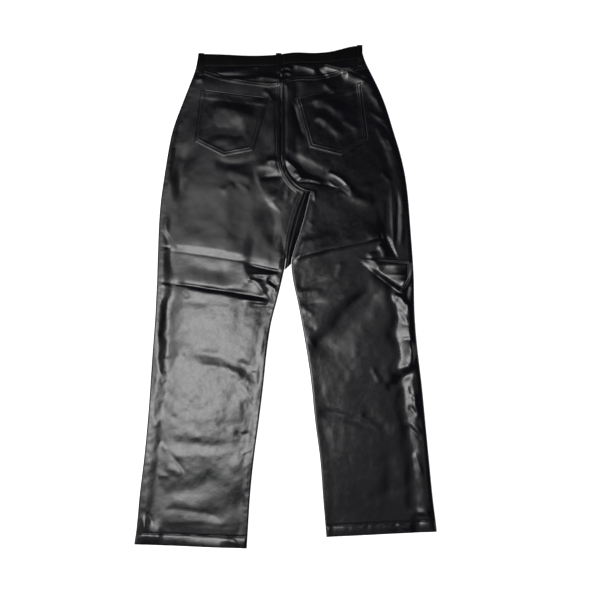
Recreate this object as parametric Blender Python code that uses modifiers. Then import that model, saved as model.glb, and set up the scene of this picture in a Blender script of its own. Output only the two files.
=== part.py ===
"""Black faux leather trousers lying flat on their front, with the back side up.

The tables are in millimetres: X runs across to the wearer's right, Y towards the waist, and Z up
from the surface they lie on. The legs are flattened tubes: a back panel arches over a front panel
and the two meet along rolled edges. Each cut and sewn piece is one object, a wall made by Solidify.
"""

import math
from typing import NamedTuple

import bmesh
import bpy
import numpy as np
from mathutils import Matrix, Vector
from mathutils.bvhtree import BVHTree

MM = 0.001

# Cloth
WALL = 1.3  # one layer of faux leather
HEM_WALL = 1.9  # the hem, turned up and pressed
BAND_WALL = 2.0  # the waistband, doubled over
LOOP_WALL = 1.8
SEAM_GAP = 0.3  # between pieces sewn together
SIDE_GAP = 0.45  # between back and front along their rolled edges
PATCH_GAP = 0.45  # between a patch and the panel under it

# Heights of the outer faces above the surface they lie on
FIELD_LEVEL = 6.4  # back panel away from its edges
RIM_LEVEL = 7.6  # crown of the rolled edge
TROUGH_LEVEL = 4.5  # hollow beside the rolled edge
LOWEST_LEVEL = 3.3  # clear of the front panel
LOWEST_HEM_LEVEL = 4.5
EDGE_LEVEL = 3.6  # where back and front meet along a leg
WAIST_EDGE_LEVEL = 4.9  # the same at the waistband
WAIST_RISE = 2.1  # front held off the surface by its loops and its button
WAIST_LIFT = 1.6  # extra height of the back there
BAND_STEP = 0.9  # waistband above the yoke
RISE_FROM, RISE_TO = 395.0, 445.0

# Rolled edges, as distances from the outline
RIM_REACH = 5.0
RIM_END = 12.0
TROUGH_REACH = 20.0
FIELD_REACH = 36.0
FRONT_REACH = 5.0
ROLL_POWER = 3.0

# Seat seam: straight down the centre back, then a quarter of an ellipse to the crotch point
CENTRE_X = -9.0
SEAT_CURVE_Y = 300.0
CROTCH_X, CROTCH_Y = 52.0, 218.0
BACK_CORNER_X = 36.0  # where the left back panel turns from the seat seam into the inseam
APEX_Y = 73.0  # the legs part below this

# Corners of the hems, from left to right
LEFT_HEM = ((-311.0, -506.0), (-79.0, -514.5))
RIGHT_HEM = ((83.0, -491.0), (311.0, -480.0))
HEM_DEPTH = 22.0
HEM_STEP = 3.0  # over which the wall thins above a hem

# Fittings
LOOP_WIDTH = 11.0
LOOP_BULGE = 0.5
LOOP_EDGE = 0.4
BUTTON_RADIUS = 8.5
BUTTON_HEIGHT = 1.8
BUTTON_EDGE = 0.5
BUTTON_FROM_EDGE = 14.0
FRONT_BAND_DROP = 3.0  # front waistband's top below the back's
PATCH_REACH = 7.0  # a patch clears what its panel does this far around each of its points
LOOP_REACH = 3.0
ABOVE_ALL = 100.0

# Strip of the left front that shows beside the inseam
STRIP_LEVEL = 3.3
STRIP_BEND = 0.8  # share of its width over which it falls
STRIP_GAP = 0.9
STRIP_FROM_APEX = 6.0
STRIP_BELOW_CROTCH = 1.0


class HipSection(NamedTuple):
    """Outer edges of the body at one height."""

    y: float
    left_out: float
    right_out: float


class LegSection(NamedTuple):
    """Outer and inner edges of both legs at one height."""

    y: float
    left_out: float
    left_in: float
    right_in: float
    right_out: float


class WaistSection(NamedTuple):
    """Heights of the waistband's top, the waist seam and the back yoke seam at one X."""

    x: float
    top: float
    seam: float
    yoke: float


class Fold(NamedTuple):
    """A ridge, or a trough where height is negative, through three points of the back."""

    name: str
    start: tuple
    middle: tuple
    end: tuple
    waist_side: float  # how far it fades out on the left of its run, towards the waist
    hem_side: float  # and on the right of its run, towards the hem
    height: float


class Pocket(NamedTuple):
    """Corners of a patch pocket: the mouth, the sides' lower ends and the point."""

    name: str
    mouth_left: tuple
    mouth_right: tuple
    side_right: tuple
    point: tuple
    side_left: tuple


class Loop(NamedTuple):
    """A belt loop, from its upper to its lower end."""

    name: str
    x: float
    top: float
    bottom: float


HIP_SECTIONS = (
    HipSection(y=515, left_out=-177.5, right_out=154),
    HipSection(y=492, left_out=-179, right_out=159),
    HipSection(y=465, left_out=-184, right_out=171),
    HipSection(y=424, left_out=-200, right_out=192),
    HipSection(y=383, left_out=-216, right_out=208),
    HipSection(y=342, left_out=-231, right_out=220),
    HipSection(y=301, left_out=-239.5, right_out=233),
    HipSection(y=260, left_out=-246, right_out=243),
)

LEG_SECTIONS = (
    LegSection(y=218, left_out=-252.5, left_in=38, right_in=52, right_out=249.5),
    LegSection(y=180, left_out=-257, left_in=21.5, right_in=43, right_out=253),
    LegSection(y=140, left_out=-259.5, left_in=10, right_in=32.5, right_out=256),
    LegSection(y=100, left_out=-261, left_in=2, right_in=18.5, right_out=259),
    LegSection(y=72, left_out=-262, left_in=0.5, right_in=11.5, right_out=261),
    LegSection(y=35, left_out=-263, left_in=-7, right_in=15, right_out=263),
    LegSection(y=-6, left_out=-265, left_in=-17, right_in=24, right_out=263.5),
    LegSection(y=-47, left_out=-267, left_in=-28, right_in=32, right_out=265),
    LegSection(y=-110, left_out=-272, left_in=-38, right_in=43, right_out=270.5),
    LegSection(y=-170, left_out=-276, left_in=-44, right_in=52, right_out=278),
    LegSection(y=-252, left_out=-282, left_in=-54, right_in=60, right_out=286),
    LegSection(y=-334, left_out=-290, left_in=-65, right_in=71, right_out=294),
    LegSection(y=-416, left_out=-300, left_in=-73, right_in=77, right_out=302),
    LegSection(y=-475, left_out=-305, left_in=-76.5, right_in=82, right_out=309.5),
    LegSection(y=-515, left_out=-311.5, left_in=-79, right_in=85, right_out=313),
)

WAIST_SECTIONS = (
    WaistSection(x=-190, top=497, seam=471, yoke=462),
    WaistSection(x=-126, top=495.5, seam=469.5, yoke=441),
    WaistSection(x=-73, top=493, seam=470.5, yoke=431.5),
    WaistSection(x=-14, top=495.5, seam=472.5, yoke=428.5),
    WaistSection(x=17, top=500, seam=477.5, yoke=440.5),
    WaistSection(x=58, top=498.5, seam=476.5, yoke=441),
    WaistSection(x=97, top=502, seam=478.5, yoke=448),
    WaistSection(x=130, top=511, seam=483, yoke=457.5),
    WaistSection(x=172, top=515, seam=489, yoke=467),
)

FOLDS = (
    Fold("left_thigh_tuck", (-232, 106), (-125, 91), (4, 62), 26, 11, 5.5),
    Fold("left_thigh_hollow", (-215, 84), (-105, 60), (-12, 44), 9, 16, -2.2),
    Fold("left_second_hollow", (-232, 26), (-110, 12), (-16, -10), 18, 16, -2.4),
    Fold("left_second_ridge", (-215, 2), (-120, -12), (-34, -32), 14, 26, 1.6),
    Fold("left_thigh_crease", (-252, 162), (-238, 134), (-220, 104), 16, 12, 2.0),
    Fold("left_crotch_crease", (-66, 286), (-44, 222), (4, 172), 20, 14, 2.6),
    Fold("left_knee_hollow", (-190, -130), (-112, -139), (-60, -186), 18, 18, -1.8),
    Fold("left_shin_hollow", (-236, -296), (-180, -302), (-112, -316), 22, 22, -1.5),
    Fold("left_shin_ridge", (-250, -338), (-190, -336), (-110, -348), 20, 18, 1.7),
    Fold("left_diagonal", (-266, -378), (-194, -367), (-130, -350), 14, 14, -1.6),
    Fold("left_ankle_hollow", (-160, -388), (-115, -405), (-78, -436), 22, 20, -1.8),
    Fold("left_hem_ridge", (-258, -432), (-180, -444), (-98, -456), 16, 14, 1.6),
    Fold("right_crotch_ridge", (10, 292), (96, 256), (196, 168), 15, 13, 3.6),
    Fold("right_crotch_hollow", (4, 296), (50, 248), (118, 222), 11, 12, -2.2),
    Fold("right_leaf", (-6, 270), (30, 247), (76, 232), 10, 9, 2.6),
    Fold("right_thigh_tuck", (4, 84), (104, 110), (214, 128), 30, 9, 5.0),
    Fold("right_thigh_crease", (8, 68), (104, 88), (206, 106), 8, 13, -2.6),
    Fold("right_thigh_bulge", (150, 74), (208, 66), (264, 44), 16, 16, 4.2),
    Fold("right_knee_hollow", (40, -136), (100, -58), (190, 24), 20, 24, -2.6),
    Fold("right_knee_ridge", (92, -118), (150, -62), (226, -14), 20, 26, 2.2),
    Fold("right_hip_crease", (196, 266), (216, 222), (226, 150), 14, 14, 1.8),
    Fold("right_edge_ridge", (206, 10), (240, -18), (262, -58), 13, 13, 2.4),
    Fold("right_notch", (196, -184), (230, -164), (268, -146), 12, 12, -1.9),
    Fold("right_shin_hollow", (146, -238), (180, -258), (216, -284), 20, 20, -1.7),
    Fold("centre_bulge", (-52, 440), (-22, 438), (8, 446), 12, 12, 1.4),
)

POCKETS = (
    Pocket("back_pocket_left", (-173, 425), (-34, 408), (-65, 297), (-127, 286), (-187, 316)),
    Pocket("back_pocket_right", (20, 406), (155, 439), (170, 321), (115, 288), (48, 305)),
)

BACK_LOOPS = (
    Loop("belt_loop_left", x=-172, top=498.0, bottom=451.0),
    Loop("belt_loop_centre", x=-14, top=498.0, bottom=455.0),
    Loop("belt_loop_right", x=151.5, top=514.5, bottom=469.0),
)
FRONT_LOOPS = (
    Loop("belt_loop_front_left", x=-98, top=492.0, bottom=452.0),
    Loop("belt_loop_front_right", x=78, top=496.0, bottom=456.0),
)

UNDER_LOOPS = ("waistband_back", "yoke_left", "yoke_right", "leg_back_left", "leg_back_right")

# Columns of a leg panel as shares of its width: close together over each rolled edge
EDGE_COLUMNS = (0.0, 0.0002, 0.007, 0.02, 0.055, 0.09, 0.15)
LEG_COLUMNS = EDGE_COLUMNS + (0.26, 0.38, 0.5, 0.62, 0.74) + tuple(1 - u for u in reversed(EDGE_COLUMNS))
FRONT_EDGE_COLUMNS = (0.0, 0.0002, 0.009, 0.022)
FRONT_COLUMNS = FRONT_EDGE_COLUMNS + (0.5,) + tuple(1 - u for u in reversed(FRONT_EDGE_COLUMNS))
# Zones of rows down a leg, from the hem up: the zone's top and its number of rows
BACK_ROWS = ((-60.0, 12), (125.0, 13), (215.0, 4), (CROTCH_Y + 3.0, 1), (300.0, 3), (1000.0, 5))
FRONT_ROWS = (
    (-60.0, 4),
    (APEX_Y, 2),
    (CROTCH_Y - 3.0, 4),
    (CROTCH_Y + 3.0, 1),
    (300.0, 3),
    (RISE_FROM, 1),
    (1000.0, 4),
)
STRIP_COLUMNS = (0.0, 0.4, 0.8, 1.0)
STRIP_ROWS = 8
YOKE_ROWS = (0.0, 0.35, 0.7, 1.0)
BAND_ROWS = (0.0, 0.5, 1.0)
POCKET_ROWS = 7
LOOP_ROWS = 7


def smooth_step(t):
    """Rise from 0 to 1 with level ends."""
    t = min(max(t, 0.0), 1.0)
    return t * t * (3.0 - 2.0 * t)


def curve_through(positions, values):
    """Smooth curve through a table's rows, whose positions rise: cubic pieces that share slopes."""
    positions = np.array(positions, float)
    values = np.array(values, float)
    slopes = np.gradient(values, positions)

    def value(at):
        i = int(np.clip(np.searchsorted(positions, at) - 1, 0, len(positions) - 2))
        span = positions[i + 1] - positions[i]
        t = min(max((at - positions[i]) / span, 0.0), 1.0)
        keep, slide = 1.0 - t, t * t * (3.0 - 2.0 * t)
        bend = t * keep * (keep * slopes[i] - t * slopes[i + 1]) * span
        return float(values[i] * (1.0 - slide) + values[i + 1] * slide + bend)

    return value


def column(rows, field, position="y"):
    """One named column of a section table as a smooth curve."""
    rows = sorted(rows, key=lambda row: getattr(row, position))
    return curve_through([getattr(r, position) for r in rows], [getattr(r, field) for r in rows])


left_out = column(HIP_SECTIONS + LEG_SECTIONS, "left_out")
right_out = column(HIP_SECTIONS + LEG_SECTIONS, "right_out")
left_inseam = column(LEG_SECTIONS, "left_in")
right_inseam = column(LEG_SECTIONS, "right_in")
band_top = column(WAIST_SECTIONS, "top", "x")
waist_seam = column(WAIST_SECTIONS, "seam", "x")
yoke_seam = column(WAIST_SECTIONS, "yoke", "x")


def seat_seam(y):
    """X of the seat seam at a height above the crotch point."""
    fall = min(max((SEAT_CURVE_Y - y) / (SEAT_CURVE_Y - CROTCH_Y), 0.0), 1.0)
    return CROTCH_X - (CROTCH_X - CENTRE_X) * math.sqrt(1.0 - fall * fall)


def back_left_in(y):
    """Inner edge of the left back panel: the seat seam, then the inseam."""
    if y > CROTCH_Y:
        return min(seat_seam(y), BACK_CORNER_X)
    return min(left_inseam(y), BACK_CORNER_X)


def right_in(y):
    """Inner edge of the right leg, back and front."""
    return seat_seam(y) if y > CROTCH_Y else right_inseam(y)


def front_left_in(y):
    """Inner edge of the left front panel, which reaches the right leg above the apex."""
    if y > APEX_Y:
        return right_in(y)
    return left_inseam(y)


def waist_share(y):
    """How far a height is into the raised waist, from 0 to 1."""
    return smooth_step((y - RISE_FROM) / (RISE_TO - RISE_FROM))


def edge_level(y):
    return EDGE_LEVEL + (WAIST_EDGE_LEVEL - EDGE_LEVEL) * waist_share(y)


def bulge(t):
    """Rounded rise from 0 to 1 that starts upright, so that the wall's cut edge lies level."""
    return (1.0 - (1.0 - max(t, 0.0)) ** ROLL_POWER) ** (1.0 / ROLL_POWER)


def roll(distance, edge, rim, trough, field):
    """Height of a rolled edge at a distance from the outline: up the roll, into the trough, out."""
    if distance < RIM_REACH:
        return edge + (rim - edge) * bulge(distance / RIM_REACH)
    if distance < RIM_END:
        return rim
    if distance < TROUGH_REACH:
        return rim + (trough - rim) * smooth_step((distance - RIM_END) / (TROUGH_REACH - RIM_END))
    out = smooth_step((distance - TROUGH_REACH) / (FIELD_REACH - TROUGH_REACH))
    return trough + (field - trough) * out


def fold_curve(fold):
    """Points along a fold and its unit direction at each, from a parabola through its three."""
    start, middle, end = (np.array(p, float) for p in (fold.start, fold.middle, fold.end))
    control = 2.0 * middle - 0.5 * (start + end)
    t = np.linspace(0.0, 1.0, 33)[:, None]
    points = (1 - t) ** 2 * start + 2 * t * (1 - t) * control + t**2 * end
    ahead = 2 * (1 - t) * (control - start) + 2 * t * (end - control)
    return t[:, 0], points, ahead / np.linalg.norm(ahead, axis=1)[:, None]


FOLD_CURVES = tuple((fold, *fold_curve(fold)) for fold in FOLDS)


def fold_height(x, y):
    """Sum of all folds at a point of the back."""
    total = 0.0
    for fold, t, points, ahead in FOLD_CURVES:
        away = np.array((x, y)) - points
        i = int(np.argmin((away**2).sum(axis=1)))
        side = ahead[i, 0] * away[i, 1] - ahead[i, 1] * away[i, 0]
        along = ahead[i, 0] * away[i, 0] + ahead[i, 1] * away[i, 1]
        reach = fold.waist_side if side > 0 else fold.hem_side
        ends = smooth_step(t[i] / 0.25) * smooth_step((1 - t[i]) / 0.25)
        total += fold.height * ends * math.exp(-((side / reach) ** 2) - (along / reach) ** 2)
    return total


def fold_share(distance):
    """Folds die out over a rolled edge, so that the edge keeps its outline."""
    return smooth_step((distance - 1.0) / 16.0)


def above_hem(x, y):
    """Height of a point above the hem of its leg."""
    (x0, y0), (x1, y1) = LEFT_HEM if x < 0 else RIGHT_HEM
    return y - (y0 + (y1 - y0) * (x - x0) / (x1 - x0))


def is_hem(x, y):
    """Whether the cloth is turned up here."""
    return above_hem(x, y) < HEM_DEPTH + HEM_STEP / 2


def back_level(x, y):
    """Height of the outer face of the back at a point."""
    on_left = x < back_left_in(y)
    lift = WAIST_LIFT * waist_share(y)
    field, rim, trough = (level + lift for level in (FIELD_LEVEL, RIM_LEVEL, TROUGH_LEVEL))
    outside = x - left_out(y) if on_left else right_out(y) - x
    inside = back_left_in(y) - x if on_left else x - right_in(y)
    height = roll(outside, edge_level(y), rim, trough, field)
    free_from = APEX_Y + 22.0 if on_left else CROTCH_Y + 3.0
    free = 1.0 - smooth_step((y - free_from + 18.0) / 18.0)
    edge = edge_level(y) + (0.0 if y < APEX_Y else 0.9)
    height += free * (roll(inside, edge, rim, trough, field) - field)
    if on_left and APEX_Y < y < CROTCH_Y + 10.0:
        beside = smooth_step((y - APEX_Y) / 22.0) * (1.0 - smooth_step((y - CROTCH_Y + 10.0) / 18.0))
        height -= 1.3 * beside * math.exp(-((inside / 12.0) ** 2))
    near = min(outside, inside + 60.0 * (1.0 - free))
    lowest = LOWEST_HEM_LEVEL if above_hem(x, y) < 2 * HEM_DEPTH else LOWEST_LEVEL
    return max(height + fold_height(x, y) * fold_share(near), min(lowest, edge_level(y)))


def band_level(x, y):
    """Height of the outer face of the back waistband."""
    return back_level(x, y) + BAND_STEP


def front_level(x, y, inside_edge):
    """Height of the outer, lower face of the front, whose edges roll up to meet the back."""
    rise = WAIST_RISE * waist_share(y)
    nearest = min(x - left_out(y), right_out(y) - x, inside_edge)
    if nearest >= FRONT_REACH:
        return rise
    return rise + (edge_level(y) - SIDE_GAP - rise) * (1.0 - bulge(nearest / FRONT_REACH))


def front_left_level(x, y):
    inside = front_left_in(y) - x if y < APEX_Y else FRONT_REACH
    return front_level(x, y, inside)


def front_right_level(x, y):
    inside = x - right_in(y) if y < APEX_Y else FRONT_REACH
    return front_level(x, y, inside)


def patch(bottom, top, left, right):
    """Blend four edge curves, each from 0 to 1, into a flat surface point (u, v) -> (x, y)."""

    def point(u, v):
        across = (1 - v) * bottom(u) + v * top(u)
        along = (1 - u) * left(v) + u * right(v)
        corners = (1 - v) * ((1 - u) * bottom(0.0) + u * bottom(1.0))
        corners = corners + v * ((1 - u) * top(0.0) + u * top(1.0))
        return across + along - corners

    return point


def straight(start, end):
    """Straight edge between two corners."""
    start, end = np.array(start, float), np.array(end, float)
    return lambda t: (1 - t) * start + t * end


def edge_by_x(start_x, end_x, height, offset=0.0):
    """Edge that follows a seam given as a height for each X."""
    return lambda t: np.array(
        ((1 - t) * start_x + t * end_x, height((1 - t) * start_x + t * end_x) + offset)
    )


def edge_by_y(start_y, end_y, place, offset=0.0):
    """Edge that follows a side given as an X for each height."""
    return lambda t: np.array(
        (place((1 - t) * start_y + t * end_y) + offset, (1 - t) * start_y + t * end_y)
    )


def corner_x(place, height, guess_y):
    """X where a side meets a seam, found by following one and the other."""
    y = guess_y
    for _ in range(12):
        y = height(place(y))
    return place(y)


def rows_between(low, high, zones):
    """Shares of the height between low and high: a hem's rows, then rows spaced zone by zone."""
    floor = low + HEM_DEPTH + HEM_STEP
    shares = [0.0, HEM_DEPTH / (high - low), (floor - low) / (high - low)]
    for ceiling, count in zones:
        ceiling = min(ceiling, high)
        step = (ceiling - floor) / count
        shares += [(floor + step * (k + 1) - low) / (high - low) for k in range(count)]
        floor = ceiling
    return shares


def material(name, colour, roughness, metallic=0.0):
    made = bpy.data.materials.new(name)
    made.use_nodes = True
    shader = made.node_tree.nodes["Principled BSDF"]
    shader.inputs["Base Color"].default_value = (*colour, 1.0)
    shader.inputs["Roughness"].default_value = roughness
    shader.inputs["Metallic"].default_value = metallic
    return made


class Workshop:
    """Collection and materials that every piece shares."""

    def __init__(self):
        for old in list(bpy.data.objects):
            bpy.data.objects.remove(old)
        self.parts = bpy.data.collections.new("faux_leather_trousers")
        bpy.context.scene.collection.children.link(self.parts)
        self.leather = material("black_faux_leather", (0.012, 0.012, 0.013), 0.34)
        self.band = material("waistband_faux_leather", (0.010, 0.010, 0.011), 0.38)
        self.metal = material("button_metal", (0.30, 0.29, 0.28), 0.32, 1.0)
        self.faces = {}

    def add(self, name, mesh, dress):
        made = bpy.data.objects.new(name, mesh)
        mesh.materials.append(dress)
        self.parts.objects.link(made)
        return made

    def top_of(self, names, x, y, reach):
        """Highest point of the named panels' outer faces within a square around a point."""
        highest = 0.0
        for across in (-reach, 0.0, reach):
            for along in (-reach, 0.0, reach):
                above = Vector(((x + across) * MM, (y + along) * MM, ABOVE_ALL * MM))
                for name in names:
                    hit = self.faces[name].ray_cast(above, Vector((0.0, 0.0, -1.0)))[0]
                    if hit is not None:
                        highest = max(highest, hit.z / MM)
        return highest

    def adopt(self, made, dress):
        """Move a new primitive into the part's collection and give it its material."""
        for holder in list(made.users_collection):
            holder.objects.unlink(made)
        made.data.materials.append(dress)
        self.parts.objects.link(made)

    def cloth(self, name, place, columns, rows, wall, dress, faces_up=True):
        """Grid moved to place(u, v), in millimetres, and given a wall on its inner side."""
        grid = bmesh.new()
        bmesh.ops.create_grid(
            grid, x_segments=len(columns) - 1, y_segments=len(rows) - 1, size=0.5
        )
        for vert in grid.verts:
            u = columns[round((vert.co.x + 0.5) * (len(columns) - 1))]
            v = rows[round((vert.co.y + 0.5) * (len(rows) - 1))]
            x, y, z = place(u, v)
            vert.co = (x * MM, y * MM, z * MM)
        self.faces[name] = BVHTree.FromBMesh(grid)
        mesh = bpy.data.meshes.new(name)
        grid.to_mesh(mesh)
        grid.free()
        mesh.shade_smooth()
        made = self.add(name, mesh, dress)
        thick = made.modifiers.new("wall", "SOLIDIFY")
        thick.thickness = wall * MM
        thick.offset = -1.0 if faces_up else 1.0
        return made

    def leg_cloth(self, name, place, columns, rows, faces_up=True):
        """Leg panel, whose wall is thicker where the hem is turned up."""
        made = self.cloth(name, place, columns, rows, HEM_WALL, self.leather, faces_up)
        group = made.vertex_groups.new(name="hem")
        turned = [v.index for v in made.data.vertices if is_hem(v.co.x / MM, v.co.y / MM)]
        group.add(turned, 1.0, "REPLACE")
        wall = made.modifiers["wall"]
        wall.vertex_group = group.name
        wall.thickness_vertex_group = WALL / HEM_WALL
        return made


def raised(flat, level):
    """Surface point from a flat patch and a height function."""

    def place(u, v):
        x, y = flat(u, v)
        return x, y, level(x, y)

    return place


def back_legs(shop):
    """Back panels of both legs, from the hems to the yoke seams and the seat seam."""
    half = SEAM_GAP / 2
    top_y = yoke_seam(CENTRE_X) - half
    top_x = waist_ends(yoke_seam)[0]
    flat = patch(
        straight(LEFT_HEM[0], LEFT_HEM[1]),
        edge_by_x(top_x, CENTRE_X - half, yoke_seam, -half),
        edge_by_y(LEFT_HEM[0][1], yoke_seam(top_x) - half, left_out),
        edge_by_y(LEFT_HEM[1][1], top_y, back_left_in, -half),
    )
    rows = rows_between(LEFT_HEM[1][1], top_y, BACK_ROWS)
    shop.leg_cloth("leg_back_left", raised(flat, back_level), LEG_COLUMNS, rows)
    top_x = waist_ends(yoke_seam)[1]
    flat = patch(
        straight(RIGHT_HEM[0], RIGHT_HEM[1]),
        edge_by_x(CENTRE_X + half, top_x, yoke_seam, -half),
        edge_by_y(RIGHT_HEM[0][1], top_y, right_in, half),
        edge_by_y(RIGHT_HEM[1][1], yoke_seam(top_x) - half, right_out),
    )
    rows = rows_between(RIGHT_HEM[0][1], top_y, BACK_ROWS)
    shop.leg_cloth("leg_back_right", raised(flat, back_level), LEG_COLUMNS, rows)


def front_legs(shop):
    """Front panels, flat on the surface, from the hems to the waist seam."""
    half = SEAM_GAP / 2
    top_y = waist_seam(CENTRE_X) - half
    top_x = waist_ends(waist_seam)[0]
    flat = patch(
        straight(LEFT_HEM[0], LEFT_HEM[1]),
        edge_by_x(top_x, CENTRE_X - half, waist_seam, -half),
        edge_by_y(LEFT_HEM[0][1], waist_seam(top_x) - half, left_out),
        edge_by_y(LEFT_HEM[1][1], top_y, front_left_in, -half),
    )
    rows = rows_between(LEFT_HEM[1][1], top_y, FRONT_ROWS)
    place = raised(flat, front_left_level)
    shop.leg_cloth("leg_front_left", place, FRONT_COLUMNS, rows, faces_up=False)
    top_x = waist_ends(waist_seam)[1]
    flat = patch(
        straight(RIGHT_HEM[0], RIGHT_HEM[1]),
        edge_by_x(CENTRE_X + half, top_x, waist_seam, -half),
        edge_by_y(RIGHT_HEM[0][1], top_y, right_in, half),
        edge_by_y(RIGHT_HEM[1][1], waist_seam(top_x) - half, right_out),
    )
    rows = rows_between(RIGHT_HEM[0][1], top_y, FRONT_ROWS)
    place = raised(flat, front_right_level)
    shop.leg_cloth("leg_front_right", place, FRONT_COLUMNS, rows, faces_up=False)


def inseam_strip(shop):
    """Strip of the left front that is rolled to the back beside the inseam, above the apex."""
    low, high = APEX_Y + STRIP_FROM_APEX, CROTCH_Y - STRIP_BELOW_CROTCH

    def place(u, v):
        y = low + (high - low) * v
        start, end = back_left_in(y) + STRIP_GAP, right_in(y) - STRIP_GAP
        x = start + (end - start) * u
        beside = back_level(back_left_in(y) - 1.0, y)
        level = beside + (STRIP_LEVEL - beside) * smooth_step(u / STRIP_BEND)
        return x, y, level

    rows = [k / STRIP_ROWS for k in range(STRIP_ROWS + 1)]
    shop.cloth("inseam_strip_left", place, STRIP_COLUMNS, rows, WALL, shop.leather)


def waist_ends(seam):
    """Ends of a waist seam at the sides: X on the left and on the right."""
    return corner_x(left_out, seam, 465.0), corner_x(right_out, seam, 485.0)


def waist_panel(low_ends, low_seam, high_ends, high_seam):
    """Flat patch between two waist seams, each given by its two ends and its height curve."""
    bottom = edge_by_x(*low_ends, *low_seam)
    top = edge_by_x(*high_ends, *high_seam)
    sides = []
    for end, outline in ((0.0, left_out), (1.0, right_out)):
        low, high = bottom(end), top(end)
        at_centre = abs(low[0] - CENTRE_X) < 1.0
        sides.append(straight(low, high) if at_centre else edge_by_y(low[1], high[1], outline))
    return patch(bottom, top, *sides)


def yokes(shop):
    """Back yokes, between the yoke seams and the waist seam."""
    half = SEAM_GAP / 2
    low, high = waist_ends(yoke_seam), waist_ends(waist_seam)
    halves = (
        ("yoke_left", (low[0], CENTRE_X - half), (high[0], CENTRE_X - half)),
        ("yoke_right", (CENTRE_X + half, low[1]), (CENTRE_X + half, high[1])),
    )
    for name, low_ends, high_ends in halves:
        flat = waist_panel(low_ends, (yoke_seam, half), high_ends, (waist_seam, -half))
        shop.cloth(name, raised(flat, back_level), LEG_COLUMNS, YOKE_ROWS, WALL, shop.leather)


def waistband(shop):
    """Waistband: one length across the back, and two that meet at the centre front."""
    half = SEAM_GAP / 2
    low, high = waist_ends(waist_seam), waist_ends(band_top)
    flat = waist_panel(low, (waist_seam, half), high, (band_top, 0.0))
    centre = (CENTRE_X - low[0]) / (low[1] - low[0])
    columns = [centre * u for u in LEG_COLUMNS]
    columns += [centre + (1 - centre) * u for u in LEG_COLUMNS[1:]]
    place = raised(flat, band_level)
    shop.cloth("waistband_back", place, columns, BAND_ROWS, BAND_WALL, shop.band)
    halves = (
        ("waistband_front_left", (low[0], CENTRE_X - half), (high[0], CENTRE_X - half)),
        ("waistband_front_right", (CENTRE_X + half, low[1]), (CENTRE_X + half, high[1])),
    )
    for name, low_ends, high_ends in halves:
        flat = waist_panel(low_ends, (waist_seam, half), high_ends, (band_top, -FRONT_BAND_DROP))
        place = raised(flat, lambda x, y: front_level(x, y, FRONT_REACH))
        shop.cloth(name, place, FRONT_COLUMNS, BAND_ROWS, BAND_WALL, shop.band, faces_up=False)


def pockets(shop):
    """Patch pockets, each made from its panel's points moved out."""
    for pocket, panel in zip(POCKETS, ("leg_back_left", "leg_back_right")):
        corners = [np.array(corner, float) for corner in pocket[1:]]
        mouth_left, mouth_right, side_right, point, side_left = corners
        peak = (point - side_left)[0] / (side_right - side_left)[0]

        def bottom(t, side_left=side_left, side_right=side_right, point=point, peak=peak):
            if t < peak:
                return side_left + (point - side_left) * t / peak
            return point + (side_right - point) * (t - peak) / (1 - peak)

        flat = patch(
            bottom,
            straight(mouth_left, mouth_right),
            straight(side_left, mouth_left),
            straight(side_right, mouth_right),
        )
        columns = [peak * k / 4 for k in range(4)] + [peak + (1 - peak) * k / 4 for k in range(5)]
        rows = [k / POCKET_ROWS for k in range(POCKET_ROWS + 1)]

        def level(x, y, panel=panel):
            return shop.top_of((panel,), x, y, PATCH_REACH) + PATCH_GAP + WALL

        shop.cloth(pocket.name, raised(flat, level), columns, rows, WALL, shop.leather)


def belt_loops(shop):
    """Belt loops: three over the back waistband and two under the front one."""
    rows = [k / LOOP_ROWS for k in range(LOOP_ROWS + 1)]
    for loop in BACK_LOOPS:

        def place(u, v, loop=loop):
            x = loop.x + LOOP_WIDTH * (u - 0.5)
            y = loop.bottom + (loop.top - loop.bottom) * v
            base = shop.top_of(UNDER_LOOPS, x, y, LOOP_REACH)
            return x, y, base + PATCH_GAP + LOOP_WALL + LOOP_BULGE * math.sin(math.pi * v)

        shop.cloth(loop.name, place, (0.0, 0.5, 1.0), rows, LOOP_WALL, shop.band)
    for loop in FRONT_LOOPS:
        bpy.ops.mesh.primitive_cube_add(
            size=1.0,
            location=(
                loop.x * MM,
                (loop.top + loop.bottom) / 2 * MM,
                LOOP_WALL / 2 * MM,
            ),
        )
        made = bpy.context.object
        made.name = loop.name
        size = (LOOP_WIDTH * MM, (loop.top - loop.bottom) * MM, LOOP_WALL * MM)
        made.data.transform(Matrix.Diagonal((*size, 1.0)))
        shop.adopt(made, shop.band)
        edge = made.modifiers.new("turned_edges", "BEVEL")
        edge.width = LOOP_EDGE * MM
        edge.segments = 2


def waist_button(shop):
    """Button of the fly, on the left end of the front waistband."""
    height = (waist_seam(CENTRE_X) + band_top(CENTRE_X)) / 2
    bpy.ops.mesh.primitive_cylinder_add(
        vertices=32,
        radius=BUTTON_RADIUS * MM,
        depth=BUTTON_HEIGHT * MM,
        location=(
            (CENTRE_X - BUTTON_FROM_EDGE) * MM,
            height * MM,
            BUTTON_HEIGHT / 2 * MM,
        ),
    )
    made = bpy.context.object
    made.name = "waist_button"
    shop.adopt(made, shop.metal)
    edge = made.modifiers.new("rim", "BEVEL")
    edge.width = BUTTON_EDGE * MM
    edge.segments = 2
    edge.limit_method = "ANGLE"


def build():
    shop = Workshop()
    back_legs(shop)
    front_legs(shop)
    inseam_strip(shop)
    yokes(shop)
    waistband(shop)
    pockets(shop)
    belt_loops(shop)
    waist_button(shop)


build()
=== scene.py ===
"""Dress of a pair of black faux leather trousers lying flat on their front, back side up.

The garment is made as it is sewn: leg panels, yokes, waistband, pockets, loops and stitching, each
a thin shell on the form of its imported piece. Tables and working sizes are in millimetres, with X
to the wearer's right, Y towards the waist and Z up from the floor; meshes are in metres.
"""

import logging
import math
from collections.abc import Callable, Sequence
from dataclasses import dataclass
from enum import Enum
from typing import NamedTuple

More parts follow.
